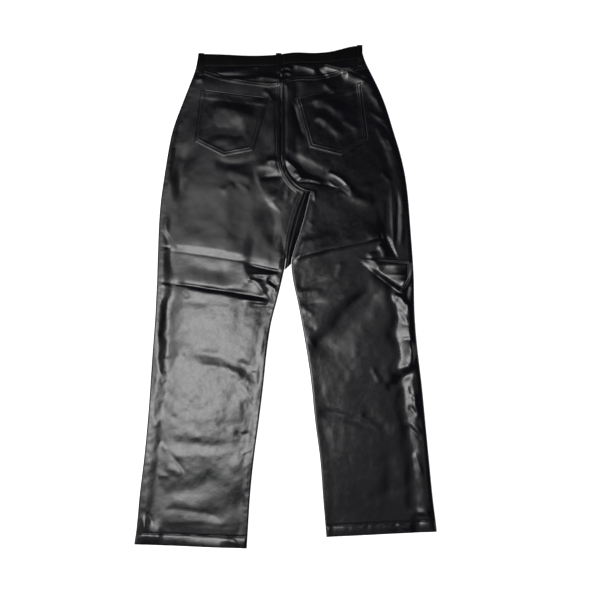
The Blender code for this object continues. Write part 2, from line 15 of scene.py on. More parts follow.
import bpy
import numpy as np
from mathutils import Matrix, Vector
from mathutils.bvhtree import BVHTree


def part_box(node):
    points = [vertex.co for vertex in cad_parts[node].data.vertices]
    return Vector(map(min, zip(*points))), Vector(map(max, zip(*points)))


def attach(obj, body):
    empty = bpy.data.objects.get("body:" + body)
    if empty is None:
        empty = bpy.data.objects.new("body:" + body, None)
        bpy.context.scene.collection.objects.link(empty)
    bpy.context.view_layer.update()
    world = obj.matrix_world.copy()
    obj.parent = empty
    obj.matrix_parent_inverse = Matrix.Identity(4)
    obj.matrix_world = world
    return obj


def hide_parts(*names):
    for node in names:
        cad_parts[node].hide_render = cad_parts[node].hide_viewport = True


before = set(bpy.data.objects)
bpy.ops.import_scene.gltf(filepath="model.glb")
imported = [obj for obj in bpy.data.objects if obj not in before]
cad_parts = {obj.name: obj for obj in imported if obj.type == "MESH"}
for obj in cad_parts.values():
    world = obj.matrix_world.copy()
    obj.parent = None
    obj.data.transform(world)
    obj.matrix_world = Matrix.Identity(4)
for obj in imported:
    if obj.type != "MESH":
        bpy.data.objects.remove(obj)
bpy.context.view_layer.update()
MM = 0.001
log = logging.getLogger("trousers")

Array = np.ndarray
Point = tuple[float, float]
Outline = Callable[[Array], Array]
Triple = tuple[float, float, float]
Socket = bpy.types.NodeSocket
WHITE = (1.0, 1.0, 1.0, 1.0)


class Slot(Enum):
    """Finishes that the record names."""

    LEATHER = "black_faux_leather"
    WAISTBAND = "waistband_faux_leather"
    METAL = "button_metal"


class Side(Enum):
    """Halves of the garment, as the wearer has them."""

    LEFT = "left"
    RIGHT = "right"


class Axis(Enum):
    """Directions that an edge may run along."""

    ACROSS = 0
    ALONG = 1


# --- Small sums that every piece shares


def smooth_step(t: Array) -> Array:
    """Rise from 0 to 1 with level ends."""
    t = np.clip(t, 0.0, 1.0)
    return t * t * (3.0 - 2.0 * t)


def bulge(t: Array, power: float = 3.0) -> Array:
    """Rounded rise from 0 to 1 that starts upright and ends level."""
    return (1.0 - (1.0 - np.clip(t, 0.0, 1.0)) ** power) ** (1.0 / power)


def mound(distance: Array, width: float) -> Array:
    """Bell of height 1 where the distance is 0."""
    return np.exp(-((distance / width) ** 2))


def graded(length: float, zones: Sequence[Point]) -> Array:
    """Shares of a length, closer together where a zone asks for it.

    Args:
        length: Whole length in millimetres.
        zones: Pairs of a zone's end and the step inside it; an end below zero counts from the far end.

    Returns:
        Rising shares from 0 to 1.
    """
    places = [0.0]
    for end, step in zones:
        end = length + end if end <= 0.0 else end
        count = max(1, math.ceil((end - places[-1]) / step - 1e-6))
        start = places[-1]
        places += [start + (end - start) * (k + 1) / count for k in range(count)]
    return np.array(places) / places[-1]


def add_object(name: str, data: bpy.types.ID) -> bpy.types.Object:
    """Put a mesh, a light or a camera in the scene.

    Args:
        name: Name of the new object.
        data: What the object shows.

    Returns:
        The new object.
    """
    made = bpy.data.objects.new(name, data)
    bpy.context.scene.collection.objects.link(made)
    return made


class SoftNoise:
    """Smooth random field over the plane, the same on each run."""

    CELLS = 64

    def __init__(self, seed: int) -> None:
        """Draw the lattice of values from one seed."""
        self.values = np.random.default_rng(seed).uniform(-1.0, 1.0, (self.CELLS, self.CELLS))

    def __call__(self, x: Array, y: Array) -> Array:
        """Blend the lattice smoothly.

        Args:
            x: X of each point, in cells.
            y: Y of each point, in cells.

        Returns:
            Value between -1 and 1 at each point.
        """
        column, row = np.floor(x).astype(int), np.floor(y).astype(int)
        across, along = smooth_step(x - column), smooth_step(y - row)
        left, right = column % self.CELLS, (column + 1) % self.CELLS
        low, high = row % self.CELLS, (row + 1) % self.CELLS
        bottom = self.values[low, left] * (1 - across) + self.values[low, right] * across
        top = self.values[high, left] * (1 - across) + self.values[high, right] * across
        return bottom * (1 - along) + top * along


# --- Edges and seams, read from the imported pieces


class NodeShape:
    """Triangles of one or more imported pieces, in millimetres."""

    def __init__(self, *names: str) -> None:
        """Gather the pieces' triangles.

        Args:
            *names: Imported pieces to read.
        """
        gathered = []
        for name in names:
            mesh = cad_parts[name].data
            points = np.empty(len(mesh.vertices) * 3, np.float32)
            mesh.vertices.foreach_get("co", points)
            corners = np.empty(len(mesh.loops), np.int32)
            mesh.loops.foreach_get("vertex_index", corners)
            gathered.append(points.reshape(-1, 3)[corners].reshape(-1, 3, 3) / MM)
        self.triangles = np.concatenate(gathered).astype(float)

    def corner(self, across: float, along: float) -> Array:
        """Corner that lies farthest in a direction, as X and Y."""
        points = self.triangles.reshape(-1, 3)
        return points[np.argmax(points[:, 0] * across + points[:, 1] * along), :2]

    def edge(self, positions: Array, axis: Axis, highest: bool) -> Array:
        """Outermost place of the piece on lines across it.

        Args:
            positions: Where the lines lie along the axis.
            axis: Axis that the edge runs along.
            highest: Whether the far side is wanted, and not the near one.

        Returns:
            A place for each position, not a number where the line misses the piece.
        """
        start = self.triangles.reshape(-1, 3)
        end = np.roll(self.triangles, -1, axis=1).reshape(-1, 3)
        run, side = axis.value, 1 - axis.value
        low, high = np.minimum(start[:, run], end[:, run]), np.maximum(start[:, run], end[:, run])
        found = []
        for position in positions:
            crossed = (low <= position) & (high > position)
            a, b = start[crossed], end[crossed]
            places = a[:, side] + (b[:, side] - a[:, side]) * (position - a[:, run]) / (b[:, run] - a[:, run])
            found.append((places.max() if highest else places.min()) if len(places) else np.nan)
        return np.array(found)


class Edge:
    """Place of an edge for each position along it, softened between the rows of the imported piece."""

    STEP = 2.0
    BEYOND = 60.0

    def __init__(self, shape: NodeShape, axis: Axis, highest: bool, ends: Point, soften: float = 9.0) -> None:
        """Sample, soften and extend the edge.

        Args:
            shape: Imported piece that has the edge.
            axis: Axis that the edge runs along.
            highest: Whether it is the far side of the piece.
            ends: Lowest and highest position that belong to the edge.
            soften: Width of the softening, in millimetres.
        """
        count = int((ends[1] - ends[0]) / self.STEP)
        positions = np.linspace(ends[0] + 0.5, ends[1] - 0.5, count)
        places = shape.edge(positions, axis, highest)
        known = ~np.isnan(places)
        places = np.interp(positions, positions[known], places[known])
        reach = int(3 * soften / self.STEP)
        before = 2 * places[0] - places[reach:0:-1]
        after = 2 * places[-1] - places[-2 : -reach - 2 : -1]
        kernel = np.exp(-0.5 * (np.arange(-reach, reach + 1) * self.STEP / soften) ** 2)
        places = np.convolve(np.concatenate([before, places, after]), kernel / kernel.sum(), "valid")
        near = (places[1] - places[0]) / (positions[1] - positions[0]) * self.BEYOND
        far = (places[-1] - places[-2]) / (positions[-1] - positions[-2]) * self.BEYOND
        self.positions = np.concatenate(
            [[positions[0] - self.BEYOND], positions, [positions[-1] + self.BEYOND]]
        )
        self.places = np.concatenate([[places[0] - near], places, [places[-1] + far]])

    def __call__(self, at: Array) -> Array:
        """Place of the edge at each position."""
        return np.interp(at, self.positions, self.places)


class Seam:
    """Line over the garment, as points in X and Y."""

    def __init__(self, points: Array) -> None:
        """Keep the points, in order along the seam."""
        self.points = np.asarray(points, float)

    def distance(self, x: Array, y: Array) -> Array:
        """Distance from each point to the nearest place on the seam.

        Args:
            x: X of each point.
            y: Y of each point.

        Returns:
            Distances, shaped as the points are.
        """
        flat = np.stack([np.ravel(x), np.ravel(y)], axis=1)
        nearest = np.full(len(flat), np.inf)
        for start, end in zip(self.points[:-1], self.points[1:]):
            run = end - start
            share = np.clip((flat - start) @ run / max(run @ run, 1e-9), 0.0, 1.0)
            away = flat - start - share[:, None] * run
            nearest = np.minimum(nearest, (away**2).sum(axis=1))
        return np.sqrt(nearest).reshape(np.shape(x))

    def beside(self, offset: float) -> "Seam":
        """Seam moved to its left, with mitred corners.

        Args:
            offset: How far it moves; below zero it moves to its right.

        Returns:
            The moved seam.
        """
        runs = np.diff(self.points, axis=0)
        runs /= np.linalg.norm(runs, axis=1)[:, None]
        left = np.stack([-runs[:, 1], runs[:, 0]], axis=1)
        before, after = np.vstack([left[:1], left]), np.vstack([left, left[-1:]])
        middle = before + after
        middle /= np.linalg.norm(middle, axis=1)[:, None]
        stretch = np.clip((middle * before).sum(axis=1), 0.5, 1.0)
        return Seam(self.points + middle * (offset / stretch)[:, None])

    def between(self, start: float, end: float) -> "Seam":
        """Stretch of the seam.

        Args:
            start: Distance along the seam at which the stretch starts.
            end: Distance at which it ends, counted from the far end where it is zero or less.

        Returns:
            The stretch, with a point at both ends.
        """
        along = self.lengths()
        end = along[-1] + end if end <= 0.0 else end
        inside = (along > start) & (along < end)
        picked = [np.array([np.interp(s, along, self.points[:, k]) for k in (0, 1)]) for s in (start, end)]
        return Seam(np.vstack([picked[0][None], self.points[inside], picked[1][None]]))

    def lengths(self) -> Array:
        """Distance along the seam to each of its points."""
        steps = np.linalg.norm(np.diff(self.points, axis=0), axis=1)
        return np.concatenate([[0.0], np.cumsum(steps)])


class Garment:
    """Outline and seams of the whole garment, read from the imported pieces."""

    SEAT_CURVE_RISE = 82.0  # height of the curved end of the seat seam
    CORNER_SPAN = (150.0, 260.0)  # heights between which the crotch point lies
    SAMPLES = 160

    def __init__(self) -> None:
        """Read corners first, then the edges between them."""
        left, right = NodeShape("leg_back_left"), NodeShape("leg_back_right")
        yokes = NodeShape("yoke_left"), NodeShape("yoke_right")
        band = NodeShape("waistband_back")
        whole = NodeShape("leg_back_left", "leg_back_right", "yoke_left", "yoke_right", "waistband_back")
        self.hems = {
            side: (leg.corner(-0.3, -1.0), leg.corner(0.3, -1.0)) for side, leg in zip(Side, (left, right))
        }
        self.band_low = (band.corner(-1.0, -0.5), band.corner(1.0, -0.8))
        self.band_high = (band.corner(-0.3, 1.0), band.corner(0.3, 1.0))
        self.yoke_ends = (left.corner(-0.3, 1.0), right.corner(0.3, 1.0))
        self.centre = (yokes[0].corner(1.0, 0.0)[0] + yokes[1].corner(-1.0, 0.0)[0]) / 2
        heights = np.linspace(*self.CORNER_SPAN, self.SAMPLES)
        inner = right.edge(heights, Axis.ALONG, False)
        self.crotch = np.array([inner.max(), heights[int(np.argmax(inner))]])
        self.back_corner = left.corner(1.0, 0.0)[0]
        along, across = Axis.ALONG, Axis.ACROSS
        left_hem, right_hem = (self.hems[side] for side in Side)
        self.left_out = Edge(whole, along, False, (left_hem[0][1], self.band_high[0][1]))
        self.right_out = Edge(whole, along, True, (right_hem[1][1], self.band_high[1][1]))
        self.left_inseam = Edge(left, along, True, (left_hem[1][1], self.crotch[1] - 4.0))
        self.right_inseam = Edge(right, along, False, (right_hem[0][1], self.crotch[1] - 1.0))
        self.apex = NodeShape("inseam_strip_left").corner(0.0, -1.0)[1]
        ends = (self.yoke_ends[0][0] + 2.0, self.yoke_ends[1][0] - 2.0)
        self.yoke_seam = Edge(NodeShape("yoke_left", "yoke_right"), across, False, ends, 6.0)
        ends = (self.band_low[0][0] + 3.0, self.band_low[1][0] - 3.0)
        self.waist_seam = Edge(band, across, False, ends, 6.0)
        ends = (self.band_high[0][0] + 1.0, self.band_high[1][0] - 1.0)
        self.band_top = Edge(band, across, True, ends, 6.0)

    def seat_seam(self, y: Array) -> Array:
        """X of the seat seam at each height above the crotch point: straight, then part of an ellipse."""
        fall = np.clip((self.crotch[1] + self.SEAT_CURVE_RISE - y) / self.SEAT_CURVE_RISE, 0.0, 1.0)
        return self.crotch[0] - (self.crotch[0] - self.centre) * np.sqrt(1.0 - fall * fall)

    def left_in(self, y: Array) -> Array:
        """Inner edge of the left back panel: the seat seam, then the inseam."""
        inseam = np.minimum(self.left_inseam(y), self.back_corner)
        return np.where(y > self.crotch[1], np.minimum(self.seat_seam(y), self.back_corner), inseam)

    def right_in(self, y: Array) -> Array:
        """Inner edge of the right leg."""
        return np.where(y > self.crotch[1], self.seat_seam(y), self.right_inseam(y))

    def outside(self, x: Array, y: Array, on_left: bool | Array) -> Array:
        """Distance of each point from the outer edge of its leg."""
        return np.where(on_left, x - self.left_out(y), self.right_out(y) - x)

    def inside(self, x: Array, y: Array, on_left: bool | Array) -> Array:
        """Distance of each point from the inner edge of its leg."""
        return np.where(on_left, self.left_in(y) - x, x - self.right_in(y))

    def seat_line(self) -> Seam:
        """Seat seam.

        Returns:
            Line from the waist seam down to the crotch point.
        """
        turn = np.linspace(0.0, math.pi / 2, self.SAMPLES // 4)
        x = self.crotch[0] - (self.crotch[0] - self.centre) * np.cos(turn)
        y = self.crotch[1] + self.SEAT_CURVE_RISE * (1.0 - np.sin(turn))
        top = np.array([[self.centre, float(self.waist_seam(self.centre))]])
        return Seam(np.vstack([top, np.stack([x, y], axis=1)]))

    def line_across(self, edge: Edge, start: float, end: float) -> Seam:
        """Seam that follows an edge given as a height for each X."""
        x = np.linspace(start, end, self.SAMPLES // 4)
        return Seam(np.stack([x, edge(x)], axis=1))

    def line_along(self, edge: Outline, start: float, end: float) -> Seam:
        """Seam that follows an edge given as an X for each height."""
        y = np.linspace(start, end, self.SAMPLES // 2)
        return Seam(np.stack([edge(y), y], axis=1))


# --- Relief: what a flat, pressed garment keeps of its rolls, folds and creases


class Crease(NamedTuple):
    """A ridge, or a trough where height is negative, through three points of the garment."""

    start: Point
    middle: Point
    end: Point
    waist_side: float  # how far it fades out on the left of its run
    hem_side: float  # and on the right of its run
    height: float
    sharpness: float = 2.0  # 2 is a soft roll, near 1 a crisp crest
    fade: float = 0.25  # share of its length over which each end runs out
    lean: float = 0.0  # how far its crest is pushed over towards the right of its run


def crease_table(*rows: tuple) -> tuple[Crease, ...]:
    """Creases from rows that hold their fields in order."""
    return tuple(Crease(*row) for row in rows)


@dataclass(frozen=True)
class Roll:
    """Rolled edge of a leg, by distances from the outline and heights above the floor."""

    rise: float = 5.0
    crown: float = 12.0
    trough: float = 20.0
    field: float = 36.0
    crown_level: float = 7.6
    trough_level: float = 4.5
    field_level: float = 6.4

    def height(self, distance: Array, edge: Array, depth: Array) -> Array:
        """Height at each distance: up the roll, over its crown, down into the trough and out.

        Args:
            distance: Distance from the outline.
            edge: Height of the outline itself.
            depth: How strongly crown and trough show, from 0 to 1.

        Returns:
            Height above the floor.
        """
        crown = self.field_level + (self.crown_level - self.field_level) * depth
        trough = self.field_level + (self.trough_level - self.field_level) * depth
        up = edge + (crown - edge) * bulge(distance / self.rise)
        down = smooth_step((distance - self.crown) / (self.trough - self.crown))
        out = smooth_step((distance - self.trough) / (self.field - self.trough))
        level = up + (trough - up) * down
        return level + (self.field_level - level) * out


LEFT_LEG_CREASES = crease_table(
    # thigh tuck: crest, foot and its shadowed inner end
    ((-242, 108), (-156, 101), (-70, 84), 44, 11.5, 2.9, 1.7, 0.12),
    ((-92, 90), (-44, 78), (6, 62), 26, 14, 0.9, 1.8, 0.2),
    ((-240, 95), (-158, 84), (-76, 71), 6, 2.6, -0.9, 1.3, 0.12),
    ((-84, 70), (-46, 59), (8, 49), 2.8, 5.5, -2.2, 1.5, 0.3),
    ((-214, 66), (-150, 56), (-110, 52), 16, 14, -1.2),
    # crumples between the two tucks, by the inseam
    ((-90, 80), (-82, 52), (-66, 36), 8, 14, 1.4, 1.7, 0.25),
    ((-84, 35), (-60, 30), (-42, 0), 9, 6, 2.2, 1.6),
    ((-76, 48), (-46, 45), (-10, 45), 4, 6, 1.6, 1.5),
    ((-74, 40), (-56, 38), (-40, 36), 3, 3, -1.1, 1.4),
    ((-38, 38), (-27, 30), (-12, 18), 3, 3.5, -1.7, 1.4),
    ((-40, 30), (-28, 20), (-12, 9), 3.5, 4, 1.8, 1.4),
    ((-42, 16), (-32, 2), (-22, -8), 5, 6, -1.4, 1.5),
    ((-30, -2), (-24, 10), (-12, 20), 4, 4, 0.5, 1.4),
    # second tuck
    ((-232, 34), (-150, 24), (-60, 14), 22, 9, 1.2, 1.8),
    ((-232, 27), (-140, 14.5), (-32, -5), 4.5, 2.6, -2.2, 1.4, 0.1),
    ((-124, 13), (-76, 8), (-34, -4), 8, 4, -1.4, 1.6),
    ((-236, 16), (-140, 4), (-44, -16), 6, 20, 2.0, 1.8),
    ((-222, 24), (-208, 10), (-196, -4), 6, 6, -1.0),
    ((-232, -16), (-150, -24), (-84, -14), 10, 20, 0.8),
    ((-92, -2), (-62, -9), (-28, -14), 4, 5, 1.5, 1.5),
    ((-226, -40), (-150, -46), (-92, -38), 12, 14, 0.4),
    ((-80, -12), (-52, -17), (-26, -17), 3.5, 5, -1.1, 1.5),
    ((-90, -28), (-62, -30), (-42, -34), 8, 9, -0.3),
    ((-40, -22), (-32, -34), (-28, -46), 3, 3, -0.8, 1.3),
    ((-240, 4), (-246, -40), (-250, -96), 10, 13, -2.4, 1.6, 0.2),
    # outer side of the thigh
    ((-256, 172), (-240, 132), (-214, 100), 9, 6, 0.9, 1.5),
    ((-260, 160), (-247, 130), (-232, 106), 4, 9, -0.9),
    ((-268, 104), (-250, 102), (-230, 101), 3, 3, -1.0, 1.4),
    ((-268, 34), (-248, 30), (-226, 28), 3, 3, -1.0, 1.4),
    ((-266, 20), (-250, 24), (-232, 20), 3, 3, 0.6, 1.4),
    # seat and crotch
    ((-65, 281), (-47, 217), (-6, 173), 12, 2.0, 0.42, 1.5, 0.12),
    ((-64, 268), (-32, 267), (-3, 253), 15, 9, 2.1, 1.7),
    ((-54, 244), (-26, 246), (-3, 249), 4.5, 6, -1.6, 1.4),
    ((-40, 216), (-18, 222), (-1, 244), 5, 5, -0.6, 1.4),
    ((-30, 200), (-10, 214), (2, 240), 3.5, 3.5, 1.1, 1.3),
    ((-8, 196), (-2, 216), (3, 238), 3.5, 3.5, -0.9, 1.3),
    ((2, 200), (4, 216), (5, 236), 3, 3, 0.9, 1.3),
    ((12, 190), (20, 206), (28, 214), 4, 4, 0.8, 1.4),
    ((-34, 226), (-30, 206), (-18, 186), 9, 9, 0.6, 1.5),
    ((-28, 200), (-20, 184), (-6, 174), 3, 4, 0.4, 1.3),
    ((-40, 276), (-26, 280), (-12, 274), 5, 5, 0.9, 1.5),
    ((-150, 286), (-106, 272), (-58, 286), 7, 11, -1.2),
    ((-126, 262), (-96, 248), (-60, 240), 9, 12, 0.8),
    ((-134, 214), (-118, 222), (-104, 234), 9, 9, 0.8),
    ((-98, 236), (-86, 226), (-72, 214), 5, 5, 0.4),
    ((-32, 212), (-27, 150), (-22, 84), 16, 22, -2.6, 1.9, 0.4),
    ((-14, 170), (-12, 130), (-20, 92), 6, 6, 0.4),
    ((-250, 262), (-226, 200), (-222, 116), 12, 12, 0.8),
    ((-204, 318), (-212, 240), (-208, 130), 12, 18, -1.9),
    ((-214, 400), (-226, 330), (-232, 240), 10, 10, -0.7),
    ((-22, 414), (-20, 340), (-22, 262), 10, 16, 2.6, 2.0, 0.12),
    ((-62, 450), (-30, 448), (-2, 442), 5, 7, 2.7, 1.5),
    ((-46, 424), (-34, 414), (-26, 402), 4, 4, 1.3, 1.3),
    ((-194, 447), (-180, 446), (-164, 445), 5, 5, 1.6),
    # knee
    ((-214, -118), (-122, -128), (-56, -186), 15, 10, -1.7, 1.8),
    ((-106, -131), (-73, -152), (-50, -198), 9, 9, -1.5, 1.8),
    ((-192, -138), (-120, -146), (-84, -176), 5, 16, 0.9),
    ((-100, -176), (-80, -190), (-56, -212), 6, 8, 0.9),
    ((-92, -188), (-76, -202), (-60, -230), 3, 3, 0.6, 1.4),
    ((-78, -146), (-64, -150), (-46, -148), 3, 3, 0.8, 1.3),
    ((-270, -120), (-252, -122), (-230, -120), 3, 3, -0.7, 1.3),
    ((-262, -140), (-252, -162), (-240, -172), 4, 4, 1.2, 1.3),
    ((-250, -150), (-244, -164), (-228, -176), 5, 4, 0.9),
    ((-172, -190), (-168, -230), (-176, -268), 10, 10, 0.3),
    ((-126, -176), (-132, -226), (-120, -262), 8, 8, 0.3),
    # shin
    ((-252, -290), (-180, -302), (-104, -304), 12, 13, -1.5),
    ((-244, -318), (-196, -326), (-150, -322), 8, 26, 0.9),
    ((-240, -314), (-221, -338), (-203, -362), 2.2, 2.6, -0.9, 1.3),
    ((-258, -300), (-250, -306), (-244, -318), 4, 4, 0.9, 1.4),
    ((-262, -404), (-198, -398), (-122, -358), 20, 30, -1.6),
    ((-250, -348), (-230, -356), (-208, -360), 9, 9, 0.9),
    ((-262, -368), (-250, -366), (-236, -370), 6, 6, 1.2, 1.5),
    ((-104, -276), (-88, -282), (-70, -276), 4, 5, -1.0, 1.4),
    ((-92, -322), (-80, -316), (-66, -308), 3, 3, 0.8, 1.3),
    ((-116, -346), (-96, -344), (-76, -350), 10, 12, 0.7),
    ((-172, -448), (-112, -430), (-72, -408), 26, 22, -1.2),
    ((-250, -420), (-206, -414), (-160, -398), 16, 18, 0.6),
    # above the hem
    ((-256, -438), (-196, -436), (-124, -456), 6, 9, -1.0, 1.6),
    ((-262, -462), (-176, -460), (-100, -468), 6, 6, 0.4),
    ((-220, -470), (-150, -474), (-90, -478), 4, 5, 0.2),
    ((-300, -452), (-288, -462), (-292, -478), 5, 5, 1.6, 1.4),
    ((-286, -440), (-276, -452), (-270, -468), 5, 5, -1.0),
    ((-214, -513), (-160, -512), (-112, -515), 15, 3, 1.6),
    ((-322, -479), (-290, -481), (-246, -484), 22, 18, 3.2, 1.8, 0.2),
    ((-140, -496), (-110, -500), (-90, -506), 5, 5, 0.8),
    ((-118, -490), (-100, -496), (-94, -508), 3, 3, -0.6, 1.4),
)

RIGHT_LEG_CREASES = crease_table(
    # pull lines from the crotch across the seat
    ((16, 298), (58, 278), (96, 256), 14, 7, 0.75, 1.7),
    ((84, 255), (116, 240), (142, 207), 4, 7, 1.9, 1.5, 0.15),
    ((88, 250), (112, 236), (132, 212), 2, 2.4, -0.5, 1.3),
    ((82, 243), (105, 222), (130, 203), 3, 2.6, 0.6, 1.3),
    ((112, 222), (140, 206), (188, 184), 10, 11, 1.4, 1.8, 0.35),
    ((4, 292), (44, 258), (108, 230), 30, 13, -2.4, 1.6),
    ((66, 230), (100, 224), (140, 200), 3, 4, -0.8, 1.4),
    # leaf fold beside the seat seam
    ((-6, 284), (18, 268), (38, 238), 4, 7.5, 2.3, 1.4, 0.25, 0.5),
    ((-1, 278), (8, 254), (24, 238), 5, 4, -1.6, 1.4),
    ((14, 252), (26, 250), (34, 240), 4, 5, 1.3),
    ((20, 241), (46, 241), (78, 233), 3, 2.5, 2.2, 1.2),
    ((18, 234), (48, 234), (74, 230), 2, 2.5, -1.4, 1.3),
    ((22, 232), (48, 232), (66, 231), 2, 2, 0.9, 1.3),
    ((56, 222), (60, 208), (58, 196), 4, 4, 0.9, 1.4),
    ((50, 196), (56, 160), (44, 120), 8, 6, 0.3),
    ((40, 160), (52, 150), (60, 148), 3, 3, 0.3, 1.4),
    # centre back
    ((3, 440), (4, 360), (3, 292), 14, 2.5, 0.6, 1.7, 0.1),
    ((22, 446), (24, 364), (20, 292), 12, 6, -0.7, 1.8, 0.1),
    ((14, 404), (26, 360), (40, 318), 4, 4, -1.3, 1.5),
    # hip
    ((150, 452), (182, 420), (204, 372), 9, 11, 1.6),
    ((168, 416), (190, 402), (206, 380), 3, 8, 0.9, 1.5),
    ((168, 381), (186, 371), (206, 360), 3, 2.3, 0.8, 1.3),
    ((172, 366), (196, 352), (214, 330), 5, 5, -0.5),
    ((180, 350), (196, 330), (206, 300), 6, 6, 0.4),
    ((196, 262), (206, 245), (218, 237), 4, 5, 1.0, 1.5),
    ((206, 328), (214, 314), (220, 298), 4, 4, 0.7, 1.5),
    ((216, 234), (218, 165), (223, 84), 5, 2.6, 0.6, 1.5, 0.15),
    ((238, 232), (239, 160), (236, 90), 6, 8, 0.85, 1.6),
    ((228, 224), (230, 160), (228, 104), 4, 5, -1.0),
    ((206, 210), (208, 170), (206, 124), 8, 6, -0.6),
    ((176, 240), (168, 210), (180, 180), 10, 10, 0.7),
    ((196, 330), (204, 290), (214, 250), 8, 8, -0.7),
    # thigh tuck and its deep shadow
    ((2, 76), (104, 102), (204, 123), 34, 6.5, 3.8, 1.6, 0.06),
    ((203, 130), (216, 106), (230, 74), 1.8, 9, -1.4, 1.4),
    ((188, 108), (200, 96), (204, 76), 7, 7, 1.6),
    ((16, 108), (60, 116), (110, 132), 8, 8, 0.6),
    # fold that stands up at the outer side
    ((257, 74), (250, 43), (231, 11), 4.5, 52, 11.0, 1.9, 0.14),
    ((172, 94), (180, 72), (197, 50), 14, 5, 1.7, 1.5),
    ((186, 66), (212, 65), (246, 65), 3, 4, 0.5, 1.5),
    ((196, 47), (226, 45), (256, 46), 3, 3, 0.4, 1.4),
    ((176, 54), (202, 34), (228, 14), 4, 7, -1.4, 1.5),
    ((210, 36), (230, 32), (252, 30), 8, 12, 0.7, 1.6),
    ((262, 30), (248, 4), (250, -16), 6, 5, -1.6),
    ((214, 2), (242, -6), (260, -44), 6, 10, 2.6, 1.7),
    ((252, -28), (256, -84), (262, -128), 5, 6, 1.7, 1.6),
    ((236, -60), (250, -56), (264, -66), 3, 3, -0.9, 1.4),
    ((236, -92), (250, -86), (264, -96), 3, 3.5, -0.8, 1.4),
    ((226, -26), (242, -40), (248, -58), 4, 4, 0.8, 1.5),
    # knee
    ((190, 30), (116, -44), (46, -126), 42, 16, -3.6, 1.8),
    ((70, -8), (120, 2), (190, 16), 10, 10, 0.8),
    ((18, 24), (44, 24), (96, 42), 7, 7, -0.8),
    ((20, 8), (46, 10), (84, 12), 5, 6, 0.5),
    ((22, -12), (40, -14), (76, -8), 5, 6, -0.7),
    ((30, -26), (46, -30), (60, -40), 5, 6, 0.6),
    ((34, -58), (46, -62), (66, -66), 6, 6, -0.8),
    ((40, -84), (52, -92), (62, -108), 6, 6, 0.5),
    ((110, 74), (112, 56), (102, 34), 7, 7, 0.6),
    ((96, -120), (150, -86), (220, -50), 24, 26, 0.5, 2.0, 0.5),
    # lower leg
    ((200, -134), (212, -160), (216, -178), 8, 10, 0.6),
    ((176, -142), (186, -160), (198, -178), 4, 6, 0.8, 1.4),
    ((204, -190), (232, -172), (266, -148), 8, 9, -1.8),
    ((214, -150), (236, -146), (258, -138), 7, 7, 1.2),
    ((62, -236), (120, -244), (200, -282), 8, 10, -1.3),
    ((154, -236), (184, -252), (214, -286), 9, 9, -1.0),
    ((216, -268), (234, -266), (252, -254), 8, 8, 0.5),
    ((240, -250), (262, -262), (280, -284), 4, 4, 1.2, 1.4),
    ((246, -262), (264, -276), (278, -296), 3, 3, -0.9, 1.4),
    ((262, -190), (268, -226), (272, -252), 5, 6, 1.2),
    ((264, -316), (272, -340), (278, -368), 5, 6, 0.9),
    ((256, -196), (262, -206), (272, -204), 3, 3, 0.9, 1.4),
    ((250, -222), (262, -232), (268, -246), 3, 3.5, -0.9, 1.4),
    ((262, -214), (266, -226), (276, -232), 3, 3, 0.8, 1.4),
    ((250, -182), (258, -196), (256, -214), 3.5, 3.5, -0.8, 1.4),
    ((126, -318), (130, -332), (136, -344), 4, 4, -0.3),
    ((60, -262), (84, -290), (96, -330), 12, 12, -0.3),
    ((264, -84), (260, -122), (242, -162), 8, 30, 3.2, 1.6, 0.35),
    ((196, -318), (214, -360), (196, -420), 14, 14, -0.8),
    ((166, -410), (210, -400), (262, -372), 14, 12, -0.7),
    ((250, -444), (276, -440), (300, -444), 6, 5, 1.1),
    ((200, -466), (214, -472), (232, -476), 5, 5, 0.9),
    ((226, -462), (242, -470), (262, -472), 4, 4, 0.9),
)

WAIST_CREASES = crease_table(
    ((-62, 442), (-22, 437.5), (10, 436), 6, 6, 1.0, 1.6),
    ((-14, 460), (2, 469), (16, 460), 3.5, 4, 1.1, 1.5),
    ((-11, 449), (2, 458), (15, 450), 3.5, 4, 1.1, 1.5),
    ((-8, 440), (2, 446), (12, 440), 3.5, 4, 0.9, 1.5),
    ((10, 476), (42, 470), (74, 459), 5, 8, 2.4, 1.6),
    ((72, 476), (102, 466), (146, 460), 4, 7.5, 3.3, 1.4),
    ((60, 466), (76, 456), (84, 442), 5, 5, -1.2),
    ((-150, 458), (-110, 462), (-66, 468), 5, 6, 0.5),
    ((-156, 452), (-110, 452), (-60, 448), 4, 4, -0.7),
    ((-120, 444), (-84, 447), (-50, 446), 5, 5, 0.8),
    ((76, 442), (90, 426), (108, 418), 6, 6, 0.9),
    ((114, 460), (144, 452), (168, 432), 7, 12, 3.0),
    ((-60, 470), (-62, 458), (-66, 446), 3, 3, -0.7),
    ((-1, 500), (0, 490), (-1, 478), 1.5, 1.5, 0.7, 1.4, 0.1),
    ((40, 500), (34, 490), (30, 480), 6, 6, 0.4),
    ((-120, 494), (-110, 484), (-112, 474), 8, 8, 0.4),
    ((96, 500), (100, 490), (110, 482), 8, 8, 0.4),
)

BACK_CREASES = LEFT_LEG_CREASES + RIGHT_LEG_CREASES + WAIST_CREASES

